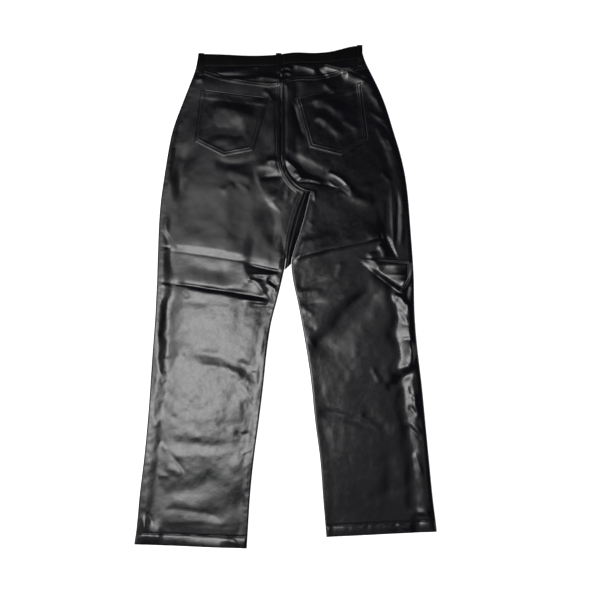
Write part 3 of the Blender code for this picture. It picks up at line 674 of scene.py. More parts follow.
FRONT_CREASES = crease_table(
    # on the side that lies on the floor, where every crease is pressed shallow
    ((-240, 70), (-140, 52), (-30, 66), 10, 14, 0.8),
    ((-236, 20), (-130, 30), (-40, 6), 12, 9, 0.6),
    ((-200, -110), (-130, -150), (-60, -170), 14, 10, 0.8),
    ((-230, -180), (-170, -168), (-110, -196), 9, 12, 0.5),
    ((-250, -330), (-180, -316), (-110, -340), 12, 12, 0.7),
    ((-230, -420), (-160, -436), (-100, -420), 10, 14, 0.5),
    ((-150, 260), (-90, 240), (-20, 262), 12, 9, 0.7),
    ((-190, 330), (-120, 300), (-60, 226), 14, 12, 0.6),
    ((-200, 190), (-150, 170), (-90, 186), 9, 9, 0.5),
    ((20, 80), (110, 96), (214, 74), 12, 12, 0.8),
    ((40, 30), (120, 14), (220, 40), 10, 14, 0.6),
    ((60, -120), (130, -150), (220, -126), 12, 12, 0.8),
    ((70, -200), (150, -190), (240, -214), 12, 9, 0.5),
    ((90, -330), (160, -350), (250, -326), 12, 12, 0.7),
    ((110, -420), (190, -404), (270, -424), 10, 12, 0.5),
    ((70, 250), (120, 236), (190, 262), 12, 9, 0.7),
    ((90, 200), (150, 320), (180, 350), 12, 12, 0.6),
)

POCKET_CREASES = crease_table(
    ((-156, 382), (-106, 380), (-60, 364), 12, 28, 2.5, 1.8, 0.3),
    ((-168, 346), (-120, 338), (-84, 342), 14, 14, -0.8),
    ((-160, 318), (-118, 322), (-80, 312), 10, 12, 0.6),
    ((52, 406), (88, 394), (128, 362), 14, 12, 1.9),
    ((58, 376), (90, 356), (122, 322), 12, 11, 1.7),
    ((110, 364), (134, 352), (154, 340), 7, 6, 0.8),
)


class Relief:
    """Height of the back's outer face over the whole garment."""

    LEFT_OUTER = Roll(rise=4.0, crown=9.5, trough=34.0, field=60.0, crown_level=8.4, trough_level=5.4)
    RIGHT_OUTER = Roll(rise=13.0, crown=15.0, trough=41.0, field=62.0, crown_level=8.8, trough_level=5.4)
    INNER = Roll(rise=4.5, crown=9.0, trough=19.0, field=38.0, crown_level=7.2, trough_level=5.2)
    # height on the garment and how strongly the roll shows there
    LEFT_OUTER_DEPTH = (
        (-520, 0.35), (-470, 0.42), (-420, 0.62), (-370, 0.72), (-310, 0.7), (-200, 0.7),
        (-165, 0.75), (-120, 0.9), (-60, 1.05), (60, 1.0), (108, 0.8), (150, 0.38), (230, 0.42),
        (320, 0.3), (400, 0.1), (500, 0.1),
    )
    RIGHT_OUTER_DEPTH = (
        (-520, 0.2), (-480, 0.6), (-400, 0.66), (-340, 0.62), (-290, 0.62), (-265, 0.78),
        (-180, 0.9), (-160, 0.8), (-124, 0.85), (-70, 1.0), (-20, 0.85), (20, 0.4), (40, 0.05),
        (90, 0.05), (120, 0.15), (230, 0.15), (320, 0.15), (420, 0.1), (500, 0.1),
    )
    LEFT_INNER_DEPTH = ((-520, 0.25), (-300, 0.2), (-100, 0.2), (0, 0.25), (80, 0.3))
    RIGHT_INNER_DEPTH = ((-520, 0.05), (80, 0.05))
    # height on the garment and how crumpled the left leg is there
    LEFT_CRUMPLE = (
        (-520, 0.6), (-440, 0.6), (-380, 0.8), (-320, 1.4), (-130, 1.5), (-70, 0.9), (60, 0.75),
        (130, 0.5), (500, 0.4),
    )
    RIGHT_CRUMPLE = 0.7
    CREASE_SHARES = (0.62, 0.85)  # of the tables' heights, left and right
    SWELL_SHARES = (1.0, 0.6)  # left and right
    PUCKERS = (0.14, 0.08)  # along the edges, left and right
    INNER_LIFT = (0.9, 2.8)  # of the inner edge above the apex, left and right
    WOBBLE = 1.6  # how far a crease strays from its line
    DRIFT = 14.0  # how far the depths of the rolls stray along the leg
    DEPTH_SPREAD = 0.28  # how much a crease's height varies
    RAGGED = 0.16  # how much a roll's width varies
    SHARE_FROM = 1.0  # creases start this far from the outline
    SHARE_OVER = 15.0
    FREE_BLEND = 18.0  # over which the inner edge's roll runs out
    STRIP_DIP = 0.5  # beside the inseam strip
    STRIP_REACH = 12.0
    FAR = 60.0  # past every edge's reach
    SOFT_STOP = 0.8  # over which the face levels out at its lowest
    EDGE_LEVEL = 3.6
    WAIST_EDGE_LEVEL = 4.9
    WAIST_LIFT = 1.6
    WAIST_RISE = (395.0, 445.0)
    LOWEST = 3.5
    LOWEST_HEM = 4.7
    HEM_DEPTH = 22.0
    HEM_LIFT = 0.8
    BAND_STEP = 0.9
    CALM_ABOVE = 380.0  # waist and hips are pressed flatter than the legs
    CURVE_SAMPLES = 33
    FRONT_RISE = 2.1
    FRONT_REACH = 5.0
    FRONT_DEEPEST = 0.95
    SIDE_GAP = 0.45

    def __init__(self, garment: Garment) -> None:
        """Draw the noises that make rolls and creases uneven.

        Args:
            garment: Outline and seams that the relief follows.
        """
        self.garment = garment
        self.broad = SoftNoise(11)
        self.middling = SoftNoise(23)
        self.fine = SoftNoise(37)
        self.uneven = SoftNoise(41)

    def waist_share(self, y: Array) -> Array:
        """How far a height is into the raised waist, from 0 to 1."""
        start, end = self.WAIST_RISE
        return smooth_step((y - start) / (end - start))

    def edge_level(self, y: Array) -> Array:
        """Height at which back and front meet."""
        return self.EDGE_LEVEL + (self.WAIST_EDGE_LEVEL - self.EDGE_LEVEL) * self.waist_share(y)

    def above_hem(self, x: Array, y: Array) -> Array:
        """Height of each point above the hem of its leg.

        Args:
            x: X of each point.
            y: Y of each point.

        Returns:
            Heights, shaped as the points are.
        """
        hems = [
            start[1] + (end[1] - start[1]) * (x - start[0]) / (end[0] - start[0])
            for start, end in self.garment.hems.values()
        ]
        return y - np.where(x < self.garment.back_corner, *hems)

    def crease_sum(self, x: Array, y: Array, creases: Sequence[Crease], on_left: bool | Array) -> Array:
        """Sum of a table's creases.

        Args:
            x: X of each point.
            y: Y of each point.
            creases: The table.
            on_left: Whether the points belong to the left leg.

        Returns:
            Shift in X, shift in Y and rise of each point, as three rows.
        """
        flat_x, flat_y = np.ravel(x), np.ravel(y)
        share = np.where(np.broadcast_to(on_left, np.shape(x)).ravel(), *self.CREASE_SHARES)
        total = np.zeros((3, flat_x.size))
        wobble = self.WOBBLE * self.uneven(flat_x / 23.0, flat_y / 23.0)
        depth = 1.0 + self.DEPTH_SPREAD * self.uneven(flat_x / 31.0 + 9.0, flat_y / 31.0)
        for crease in creases:
            start, middle, end = (np.array(p, float) for p in crease[:3])
            control = 2.0 * middle - 0.5 * (start + end)
            t = np.linspace(0.0, 1.0, self.CURVE_SAMPLES)[:, None]
            points = (1 - t) ** 2 * start + 2 * t * (1 - t) * control + t**2 * end
            ahead = 2 * (1 - t) * (control - start) + 2 * t * (end - control)
            speed = np.linalg.norm(ahead, axis=1)
            ahead = ahead / speed[:, None]
            reach = 3.0 * max(crease.waist_side, crease.hem_side)
            low, high = points.min(axis=0) - reach, points.max(axis=0) + reach
            near = (flat_x > low[0]) & (flat_x < high[0]) & (flat_y > low[1]) & (flat_y < high[1])
            if not near.any():
                continue
            spots = np.stack([flat_x[near], flat_y[near]], axis=1)
            away = ((spots[:, None, :] - points[None]) ** 2).sum(axis=2)
            nearest = away.argmin(axis=1)
            gap = spots - points[nearest]
            direction = ahead[nearest]
            side = direction[:, 0] * gap[:, 1] - direction[:, 1] * gap[:, 0]
            along = t[nearest, 0] + (direction * gap).sum(axis=1) / speed[nearest]
            small = min(crease.waist_side, crease.hem_side)
            side = side + wobble[near] * min(1.0, small / 8.0)
            width = np.where(side > 0, crease.waist_side, crease.hem_side)
            soft = np.sqrt((side / width) ** 2 + 0.01)
            profile = np.exp(-(soft**crease.sharpness))
            ends = smooth_step(along / crease.fade) * smooth_step((1.0 - along) / crease.fade)
            amount = profile * ends * depth[near]
            total[0, near] += crease.lean * amount * direction[:, 1]
            total[1, near] -= crease.lean * amount * direction[:, 0]
            total[2, near] += crease.height * amount * share[near]
        return total.reshape(3, *np.shape(x))

    def unevenness(self, x: Array, y: Array, on_left: bool | Array) -> Array:
        """Soft dents and swells between the creases.

        Args:
            x: X of each point.
            y: Y of each point.
            on_left: Whether the points belong to the left leg.

        Returns:
            Rise of each point.
        """
        calm = 1.0 - 0.75 * smooth_step((y - self.CALM_ABOVE) / 60.0)
        crumple = np.interp(y, *np.array(self.LEFT_CRUMPLE, float).T)
        crumple = np.where(on_left, crumple, self.RIGHT_CRUMPLE)
        swell = 0.75 * self.broad(x / 74.0, y / 74.0) + 0.42 * self.middling(x / 31.0, y / 37.0)
        swell = swell * np.where(on_left, *self.SWELL_SHARES)
        dent = 0.16 * self.fine(x / 12.0, y / 13.0) + 0.05 * self.fine(x / 5.0 + 7.0, y / 5.0)
        return (swell + dent * crumple) * calm

    def surface(self, x: Array, y: Array, on_left: bool | Array) -> Array:
        """Points of the back's outer face, in millimetres.

        Args:
            x: X of each flat point.
            y: Y of each flat point.
            on_left: Whether the points belong to the left leg and its yoke.

        Returns:
            Array of points with a last axis of X, Y and Z.
        """
        garment = self.garment
        lift = self.WAIST_LIFT * self.waist_share(y)
        edge = self.edge_level(y)
        ragged = 1.0 + self.RAGGED * self.uneven(x / 45.0, y / 38.0)
        outside = np.maximum(garment.outside(x, y, on_left), 0.0)
        inside = np.maximum(garment.inside(x, y, on_left), 0.0)
        tables = self.LEFT_OUTER_DEPTH, self.RIGHT_OUTER_DEPTH, self.LEFT_INNER_DEPTH, self.RIGHT_INNER_DEPTH
        drifted = y + self.DRIFT * self.uneven(x / 17.0, y / 21.0)
        depths = [np.interp(drifted, *np.array(table, float).T) for table in tables]
        left_roll = self.LEFT_OUTER.height(outside * ragged, edge - lift, depths[0])
        right_roll = self.RIGHT_OUTER.height(outside * ragged, edge - lift, depths[1])
        height = np.where(on_left, left_roll, right_roll) + lift
        free_from = np.where(on_left, garment.apex + 16.0, garment.crotch[1] + 3.0)
        free = 1.0 - smooth_step((y - free_from + self.FREE_BLEND) / self.FREE_BLEND)
        lifted = smooth_step((y - garment.apex + 4.0) / 8.0)
        inner_edge = edge + np.where(on_left, *self.INNER_LIFT) * lifted
        inner_depth = np.where(on_left, depths[2], depths[3])
        inner_roll = self.INNER.height(inside * ragged, inner_edge, inner_depth)
        height += free * (inner_roll - self.INNER.field_level)
        beside = smooth_step((y - garment.apex) / 22.0)
        beside = beside * (1.0 - smooth_step((y - garment.crotch[1] + 10.0) / 18.0))
        height -= np.where(on_left, self.STRIP_DIP * beside * mound(inside, self.STRIP_REACH), 0.0)
        near = np.minimum(outside, inside + self.FAR * (1.0 - free))
        share = smooth_step((near - self.SHARE_FROM) / self.SHARE_OVER)
        pucker = self.fine(x / 19.0, y / 6.5) + 0.6 * self.fine(x / 9.0, y / 3.6 + 5.0)
        pucker = np.where(on_left, *self.PUCKERS) * pucker * mound(near - 8.0, 6.0)
        height += pucker * smooth_step(near / 3.0)
        shift_x, shift_y, rise = self.crease_sum(x, y, BACK_CREASES, on_left)
        height += rise * share + self.unevenness(x, y, on_left) * share
        lowest = np.where(self.above_hem(x, y) < 2 * self.HEM_DEPTH, self.LOWEST_HEM, self.LOWEST)
        lowest = np.minimum(lowest, edge - 0.1)
        over, stop = height - lowest, self.SOFT_STOP
        height = lowest + np.where(over > stop, over, stop * np.exp(np.minimum(over / stop - 1.0, 0.0)))
        return np.stack([x + shift_x * share, y + shift_y * share, height], axis=-1)

    def underside(self, x: Array, y: Array, beside: Array) -> Array:
        """Height of the front's outer, lower face.

        Args:
            x: X of each point.
            y: Y of each point.
            beside: Distance of each point from the nearest edge that rolls up to the back.

        Returns:
            Height above the floor of each point.
        """
        level = self.FRONT_RISE * self.waist_share(y)
        edge = self.edge_level(y) - self.SIDE_GAP
        roll = (edge - level) * (1.0 - bulge(beside / self.FRONT_REACH))
        free = smooth_step((beside - 4.0) / 12.0)
        creases = np.maximum(self.crease_sum(x, y, FRONT_CREASES, True)[2], 0.0)
        dents = 0.35 * np.maximum(self.middling(x / 37.0 + 3.0, y / 41.0), 0.0)
        return level + roll + free * np.minimum(creases + dents, self.FRONT_DEEPEST)


# --- Finishes


class Nodes:
    """Short way to add and join the nodes of one material."""

    def __init__(self, name: str) -> None:
        """Start a material with its shader and Object coordinates.

        Args:
            name: Name of the material.
        """
        self.material = bpy.data.materials.new(name)
        self.material.use_nodes = True
        self.tree = self.material.node_tree
        self.shader = self.tree.nodes["Principled BSDF"]
        self.place = self.tree.nodes.new("ShaderNodeTexCoord").outputs["Object"]

    def join(self, socket: Socket, value: object) -> None:
        """Link a socket to another one, or give it a value.

        Args:
            socket: Input to fill.
            value: Socket or plain value.
        """
        if isinstance(value, Socket):
            self.tree.links.new(value, socket)
        else:
            socket.default_value = value

    def add(self, kind: str, settings: dict[str, object] | None = None, **inputs: object) -> bpy.types.Node:
        """Add a node.

        Args:
            kind: Blender's name for the node, without its ShaderNode prefix.
            settings: Properties of the node, by name.
            **inputs: Values or sockets for the node's inputs, with _ for a space in the input's name.

        Returns:
            The new node.
        """
        node = self.tree.nodes.new("ShaderNode" + kind)
        for name, value in (settings or {}).items():
            setattr(node, name, value)
        self.fill(node, **inputs)
        return node

    def fill(self, node: bpy.types.Node, **inputs: object) -> None:
        """Fill a node's inputs, with _ for a space in an input's name."""
        for name, value in inputs.items():
            self.join(node.inputs[name.replace("_", " ")], value)

    def noise(self, scale: float, detail: float, **inputs: object) -> bpy.types.Node:
        """Noise texture at Object coordinates, unless another Vector is given."""
        place = inputs.pop("Vector", self.place)
        return self.add("TexNoise", None, Vector=place, Scale=scale, Detail=detail, **inputs)

    def mix(self, share: Socket, first: Triple, second: Triple) -> Socket:
        """Colour between two others."""
        node = self.add("MixRGB", None, Fac=share, Color1=(*first, 1.0), Color2=(*second, 1.0))
        return node.outputs["Color"]

    def ramp(self, value: Socket, low: float, high: float, to: Point) -> Socket:
        """Value carried smoothly from one range to another.

        Args:
            value: Value to carry over.
            low: Lower end of its range.
            high: Upper end of its range.
            to: Both ends of the new range.

        Returns:
            The new value.
        """
        node = self.add("MapRange", {"interpolation_type": "SMOOTHSTEP"}, Value=value)
        self.fill(node, From_Min=low, From_Max=high, To_Min=to[0], To_Max=to[1])
        return node.outputs["Result"]

    def sum(self, operation: str, first: object, second: object) -> Socket:
        """Result of a Math node on two values or sockets.

        Args:
            operation: Blender's name for the sum.
            first: First value or socket.
            second: Second value or socket.

        Returns:
            The result.
        """
        node = self.add("Math", {"operation": operation})
        for socket, value in zip(node.inputs, (first, second)):
            self.join(socket, value)
        return node.outputs["Value"]

    def bump(self, height: Socket, strength: float, depth: float, below: Socket | None = None) -> Socket:
        """Bump on the plain surface, or on top of another bump.

        Args:
            height: Height of the bump.
            strength: Its strength, below zero for one that goes in.
            depth: Distance between its lowest and highest place, in metres.
            below: The other bump.

        Returns:
            The normal to use.
        """
        node = self.add("Bump", None, Height=height, Strength=strength, Distance=depth)
        if below is not None:
            self.join(node.inputs["Normal"], below)
        return node.outputs["Normal"]


@dataclass(frozen=True)
class FauxLeather:
    """Coated fabric with a fine pressed grain, soft wrinkles and a network of thin creases."""

    name: str
    dark: Triple = (0.0024, 0.0022, 0.0046)
    light: Triple = (0.0038, 0.0034, 0.0066)
    polished: float = 0.16
    dull: float = 0.23
    shine: float = 0.5
    warp_scale: float = 46.0
    warp: float = 0.02
    cloud_scale: float = 9.0
    scuff_scale: float = 160.0
    grain_scale: float = 1100.0
    grain_depth: float = 0.00002
    wrinkle_scale: float = 70.0
    wrinkle_depth: float = 0.0002
    vein_depth: float = 0.00007
    vein_sizes: Point = (0.017, 0.0085)
    vein_gaps: Point = (0.42, 0.5)  # noise below which the veins are broken
    vein_width: float = 0.0007
    worn_below: Point = (0.12, -0.04)  # heights over which the wear of the knees and shins sets in
    worn_left_of: Point = (0.1, 0.0)

    def veins(self, nodes: Nodes, warped: Socket) -> Socket:
        """Network of thin creases in two sizes.

        Args:
            nodes: Nodes of the material.
            warped: Object coordinates, bent out of line.

        Returns:
            1 in a crease and 0 beside it.
        """
        cuts = []
        for size, gap in zip(self.vein_sizes, self.vein_gaps):
            settings = {"feature": "DISTANCE_TO_EDGE"}
            cells = nodes.add("TexVoronoi", settings, Vector=warped, Scale=1.0 / size)
            line = nodes.ramp(cells.outputs["Distance"], 0.0, self.vein_width / size, (0.0, 1.0))
            broken = nodes.noise(0.5 / size, 2.0)
            where = nodes.ramp(broken.outputs["Fac"], gap, gap + 0.14, (0.0, 1.0))
            cuts.append(nodes.sum("MULTIPLY", nodes.sum("SUBTRACT", 1.0, line), where))
        return nodes.sum("MAXIMUM", *cuts)

    def make(self) -> bpy.types.Material:
        """Build the material.

        Returns:
            The finished material.
        """
        nodes = Nodes(self.name)
        warp = nodes.noise(self.warp_scale, 3.0).outputs["Color"]
        offset = nodes.add("VectorMath", {"operation": "SCALE"}, Vector=warp, Scale=self.warp)
        bent = nodes.add("VectorMath", {"operation": "ADD"})
        nodes.join(bent.inputs[0], nodes.place)
        nodes.join(bent.inputs[1], offset.outputs[0])
        warped = bent.outputs[0]
        cloud = nodes.noise(self.cloud_scale, 4.0, Roughness=0.55).outputs["Fac"]
        shade = nodes.mix(nodes.ramp(cloud, 0.35, 0.7, (0.0, 1.0)), self.dark, self.light)
        scuffs = nodes.noise(self.scuff_scale, 5.0, Vector=warped)
        dullness = nodes.sum("MULTIPLY", scuffs.outputs["Fac"], 0.7)
        mixed = nodes.sum("ADD", dullness, nodes.sum("MULTIPLY", cloud, 0.3))
        roughness = nodes.ramp(mixed, 0.3, 0.7, (self.polished, self.dull))
        grain = nodes.add("TexVoronoi", None, Vector=nodes.place, Scale=self.grain_scale)
        wrinkles = nodes.noise(self.wrinkle_scale, 4.0, Vector=warped, Roughness=0.5)
        axes = nodes.add("SeparateXYZ", None, Vector=nodes.place)
        knees = nodes.ramp(axes.outputs["Y"], *self.worn_below, (0.3, 1.0))
        wear = nodes.sum("MULTIPLY", knees, nodes.ramp(axes.outputs["X"], *self.worn_left_of, (0.35, 1.0)))
        veins = nodes.sum("MULTIPLY", self.veins(nodes, warped), wear)
        worn = nodes.sum("MULTIPLY", wrinkles.outputs["Fac"], wear)
        normal = nodes.bump(worn, 1.0, self.wrinkle_depth)
        normal = nodes.bump(veins, -1.0, self.vein_depth, normal)
        normal = nodes.bump(grain.outputs["Distance"], 1.0, self.grain_depth, normal)
        nodes.fill(nodes.shader, Base_Color=shade, Roughness=roughness, Normal=normal)
        nodes.fill(nodes.shader, IOR=1.5, Specular_IOR_Level=self.shine)
        return nodes.material


@dataclass(frozen=True)
class Thread:
    """Twisted black thread, a little greyer than the leather."""

    name: str
    colour: float = 0.005
    twist_scale: float = 1400.0
    twist_depth: float = 0.00006
    lint_scale: float = 900.0

    def make(self) -> bpy.types.Material:
        """Build the material.

        Returns:
            The finished material.
        """
        nodes = Nodes(self.name)
        twist = nodes.add("TexWave", None, Vector=nodes.place, Scale=self.twist_scale, Distortion=2.0)
        lint = nodes.noise(self.lint_scale, 2.0).outputs["Fac"]
        shade = nodes.mix(lint, (self.colour * 0.6,) * 3, (self.colour * 1.5,) * 3)
        normal = nodes.bump(twist.outputs["Fac"], 1.0, self.twist_depth)
        roughness = nodes.ramp(lint, 0.3, 0.7, (0.34, 0.5))
        nodes.fill(nodes.shader, Base_Color=shade, Roughness=roughness, Normal=normal)
        return nodes.material


@dataclass(frozen=True)
class BrushedMetal:
    """Dark plated metal with fine scratches."""

    name: str
    colour: float = 0.28
    scratch_scale: float = 2400.0
    scratch_depth: float = 0.00001
    tarnish_scale: float = 240.0

    def make(self) -> bpy.types.Material:
        """Build the material.

        Returns:
            The finished material.
        """
        nodes = Nodes(self.name)
        scratches = nodes.noise(self.scratch_scale, 3.0)
        tarnish = nodes.noise(self.tarnish_scale, 3.0).outputs["Fac"]
        bright = (self.colour * 1.2, self.colour * 1.16, self.colour * 1.1)
        shade = nodes.mix(tarnish, (self.colour * 0.7,) * 3, bright)
        normal = nodes.bump(scratches.outputs["Fac"], 1.0, self.scratch_depth)
        roughness = nodes.ramp(tarnish, 0.3, 0.7, (0.24, 0.4))
        nodes.fill(nodes.shader, Base_Color=shade, Roughness=roughness, Normal=normal, Metallic=1.0)
        return nodes.material


@dataclass(frozen=True)
class FloorPaint:
    """Plain matt white floor with a faint glow of its own, so that it stays white to its edges."""

    name: str
    colour: float = 0.94
    glow: float = 0.9

    def make(self) -> bpy.types.Material:
        """Build the material.

        Returns:
            The finished material.
        """
        nodes = Nodes(self.name)
        paint = (self.colour,) * 3 + (1.0,)
        nodes.fill(nodes.shader, Base_Color=paint, Roughness=0.9, Specular_IOR_Level=0.1)
        nodes.fill(nodes.shader, Emission_Color=WHITE, Emission_Strength=self.glow)
        return nodes.material


# --- Making cloth


SeamEnd = tuple[float, Edge, float]


@dataclass
class FlatPiece:
    """Flat cut between four edges, each a row of X and Y at its shares."""

    columns: Array
    rows: Array
    bottom: Array
    top: Array
    left: Array
    right: Array

    def points(self) -> tuple[Array, Array]:
        """Blend the four edges.

        Returns:
            X and Y of every grid point.
        """
        u, v = self.columns[None, :, None], self.rows[:, None, None]
        across = (1 - v) * self.bottom[None] + v * self.top[None]
        along = (1 - u) * self.left[:, None] + u * self.right[:, None]
        corners = (1 - v) * ((1 - u) * self.bottom[0] + u * self.bottom[-1])
        corners = corners + v * ((1 - u) * self.top[0] + u * self.top[-1])
        flat = across + along - corners
        return flat[..., 0], flat[..., 1]


def edge_across(shares: Array, ends: Point, seam: Outline, offset: float = 0.0) -> Array:
    """Row of points along a seam given as a height for each X."""
    x = ends[0] + (ends[1] - ends[0]) * shares
    return np.stack([x, seam(x) + offset], axis=1)


def edge_along(shares: Array, ends: Point, side: Outline, offset: float = 0.0) -> Array:
    """Row of points along a side given as an X for each height."""
    y = ends[0] + (ends[1] - ends[0]) * shares
    return np.stack([side(y) + offset, y], axis=1)


def edge_straight(shares: Array, start: Sequence[float], end: Sequence[float]) -> Array:
    """Row of points on a straight line."""
    start, end = np.asarray(start, float), np.asarray(end, float)
    return start + (end - start) * shares[:, None]


# --- Sewing

SEAM_DIP = 0.5  # how far a sewn edge dips into its seam
SEAM_REACH = 0.8
GROOVE_DEPTH = 0.3
GROOVE_WIDTH = 0.8
ALLOWANCE_FADE = 3.5
# distances of the rows of stitches from their seams and edges
SEAT_ROWS = {Side.LEFT: 5.9, Side.RIGHT: 1.6}
YOKE_ROWS = (1.6, 7.0)
BAND_ROW = 1.8
INSEAM_ROW = 1.8
HEM_ROW = 20.5
# shares of the whole dip
SEAT_DIPS = {Side.LEFT: 1.0, Side.RIGHT: 0.2}
PANEL_DIP = 0.4


def seam_fall(distance: Array) -> Array:
    """How far a sewn edge dips into its seam, by distance from the seam."""
    return SEAM_DIP * (1.0 - bulge(distance / SEAM_REACH))


def groove(distance: Array, offsets: Sequence[float]) -> Array:
    """Depth of the grooves that rows of stitches pull into the cloth."""
    return sum(GROOVE_DEPTH * mound(distance - offset, GROOVE_WIDTH) for offset in offsets)


def padding(distance: Array, width: float, height: float = 0.45) -> Array:
    """Extra height over the seam allowances that lie under a seam's edge."""
    return height * (1.0 - smooth_step((distance - width) / ALLOWANCE_FADE))


class Workshop:
    """Makes and dresses the pieces, and remembers their outer faces for what lies on them."""

    ALLOW = 0.3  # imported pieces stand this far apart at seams

    def __init__(self) -> None:
        """Read the garment and make the finishes."""
        self.garment = Garment()
        self.relief = Relief(self.garment)
        self.faces: dict[str, BVHTree] = {}
        self.finishes = {
            Slot.LEATHER: FauxLeather("black_faux_leather").make(),
            Slot.WAISTBAND: FauxLeather(
                "waistband_faux_leather",
                dark=(0.0010, 0.0010, 0.0015),
                light=(0.0016, 0.0016, 0.0024),
                polished=0.34,
                dull=0.46,
                shine=0.12,
            ).make(),
            Slot.METAL: BrushedMetal("button_metal").make(),
        }
        self.thread = Thread("black_thread").make()

    def lay(
        self,
        name: str,
        points: Array,
        wall: float,
        slot: Slot,
        node: str,
        rests_on: Sequence[str],
        faces_up: bool = True,
    ) -> None:
        """Args:
            name: Name of the new object.
            points: Rows of columns of points, in millimetres.
            wall: Thickness of the cloth.
            slot: Finish of the cloth.
            node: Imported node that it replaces.
            rests_on: What it lies on.
            faces_up: Whether the outer face looks up.
        """
        rows, columns = points.shape[:2]
        index = np.arange(rows * columns).reshape(rows, columns)
        quads = np.stack([index[:-1, :-1], index[:-1, 1:], index[1:, 1:], index[1:, :-1]], axis=-1)
        quads = quads.reshape(-1, 4)
        if not faces_up:
            quads = quads[:, ::-1]
        flat = points.reshape(-1, 3)
        self.faces[name] = BVHTree.FromPolygons(flat.tolist(), quads.tolist())
        mesh = bpy.data.meshes.new(name)
        mesh.vertices.add(len(flat))
        mesh.vertices.foreach_set("co", (flat * MM).ravel())
        mesh.loops.add(quads.size)
        mesh.loops.foreach_set("vertex_index", quads.ravel().astype(np.int32))
        mesh.polygons.add(len(quads))
        mesh.polygons.foreach_set("loop_start", np.arange(0, quads.size, 4, dtype=np.int32))
        mesh.update(calc_edges=True)
        made = add_object(name, mesh)
        thick = made.modifiers.new("wall", "SOLIDIFY")
        thick.thickness = wall * MM
        thick.offset = -1.0
        self.finish(made, slot)
        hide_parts(node)
        self.declare(made, points, rests_on)

    def finish(self, made: bpy.types.Object, slot: Slot, angle: float = 50.0) -> None:
        """Apply a piece's modifiers, smooth it, and give it its material and its place on the body.

        Args:
            made: Piece to finish.
            slot: Finish that it gets.
            angle: Greatest angle between faces that look smooth, in degrees.
        """
        bpy.ops.object.select_all(action="DESELECT")
        bpy.context.view_layer.objects.active = made
        made.select_set(True)
        for modifier in list(made.modifiers):
            bpy.ops.object.modifier_apply(modifier=modifier.name)
        bpy.ops.object.shade_smooth_by_angle(angle=math.radians(angle))
        made.data.materials.clear()
        made.data.materials.append(self.finishes[slot])
        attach(made, "root")
        made.select_set(False)

    def declare(self, made: bpy.types.Object, points: Array, rests_on: Sequence[str]) -> None:
        """State the cut of what shows of a cloth piece, measured over its outer face.

        Args:
            made: The piece.
            points: Grid of its outer face.
            rests_on: What it lies on; not used.
        """
        across = np.linalg.norm(np.diff(points, axis=1), axis=2).sum(axis=1).max() * MM
        along = np.linalg.norm(np.diff(points, axis=0), axis=2).sum(axis=0).max() * MM
        first = np.cross(points[1:, 1:] - points[:-1, :-1], points[1:, :-1] - points[:-1, 1:])
        area = np.linalg.norm(first, axis=2).sum() / 2 * MM * MM
        list(rests_on)
        log.info("%s: cut %.0f x %.0f mm, %.0f cm2", made.name, across / MM, along / MM, area * 1e4)


    def leg_grid(
        self, side: Side, columns: Array, rows: Array, seam: Edge, corner: Array, inner: Outline
    ) -> tuple[Array, Array]:
        """Grid of a leg panel, from the hem to a seam near the waist.

        Args:
            side: Leg of the panel.
            columns: Shares across the panel.
            rows: Shares along it.
            seam: Seam at its upper edge.
            corner: Outer end of that seam.
            inner: Inner edge of the panel.

        Returns:
            X and Y of every grid point.
        """
        garment, half = self.garment, self.ALLOW / 2
        start, end = garment.hems[side]
        seam_y = float(seam(garment.centre)) - half
        if side is Side.LEFT:
            ends = (corner[0], garment.centre - half)
            sides = (
                edge_along(rows, (start[1], corner[1]), garment.left_out),
                edge_along(rows, (end[1], seam_y), inner, -half),
            )
        else:
            ends = (garment.centre + half, corner[0])
            sides = (
                edge_along(rows, (start[1], seam_y), inner, half),
                edge_along(rows, (end[1], corner[1]), garment.right_out),
            )
        bottom = edge_straight(columns, (sides[0][0, 0], start[1]), (sides[1][0, 0], end[1]))
        top = edge_across(columns, ends, seam, -half)
        return FlatPiece(columns, rows, bottom, top, *sides).points()

    def half_grid(
        self, side: Side, columns: Array, rows: Array, low: SeamEnd, high: SeamEnd
    ) -> tuple[Array, Array]:
        """Grid of a piece that runs from the outline of one side to the centre.

        Args:
            side: Half of the garment that it belongs to.
            columns: Shares across the piece.
            rows: Shares along it.
            low: Outer X, seam and offset of its lower edge.
            high: Outer X, seam and offset of its upper edge.

        Returns:
            X and Y of every grid point.
        """
        left = side is Side.LEFT
        outline = self.garment.left_out if left else self.garment.right_out
        centre = self.garment.centre + (-self.ALLOW if left else self.ALLOW) / 2
        bottom, top = (
            edge_across(columns, (x, centre) if left else (centre, x), seam, offset)
            for x, seam, offset in (low, high)
        )
        near, far = (0, -1) if left else (-1, 0)
        outer = edge_along(rows, (bottom[near, 1], top[near, 1]), outline)
        outer[0], outer[-1] = bottom[near], top[near]
        inner = edge_straight(rows, bottom[far], top[far])
        sides = (outer, inner) if left else (inner, outer)
        return FlatPiece(columns, rows, bottom, top, *sides).points()

    def faces_at(self, names: Sequence[str], x: Array, y: Array, upper: bool = True) -> tuple[Array, Array]:
        """Outermost of some outer faces over, or under, each point.

        Args:
            names: Pieces to look at.
            x: X of each point.
            y: Y of each point.
            upper: Whether to look from above, and not from below.

        Returns:
            Height of the face at each point, not a number where there is none, and its normal.
        """
        sign = 1.0 if upper else -1.0
        heights, normals = np.full(np.size(x), np.nan), np.zeros((np.size(x), 3))
        look = Vector((0.0, 0.0, -sign))
        for k, (px, py) in enumerate(zip(np.ravel(x), np.ravel(y))):
            eye = Vector((px, py, sign * 100.0))
            for name in names:
                hit, normal, _, _ = self.faces[name].ray_cast(eye, look)
                if hit is not None and not sign * hit.z <= sign * heights[k]:
                    heights[k], normals[k] = hit.z, normal
        return heights.reshape(np.shape(x)), normals.reshape(*np.shape(x), 3)


# --- Pieces of the back


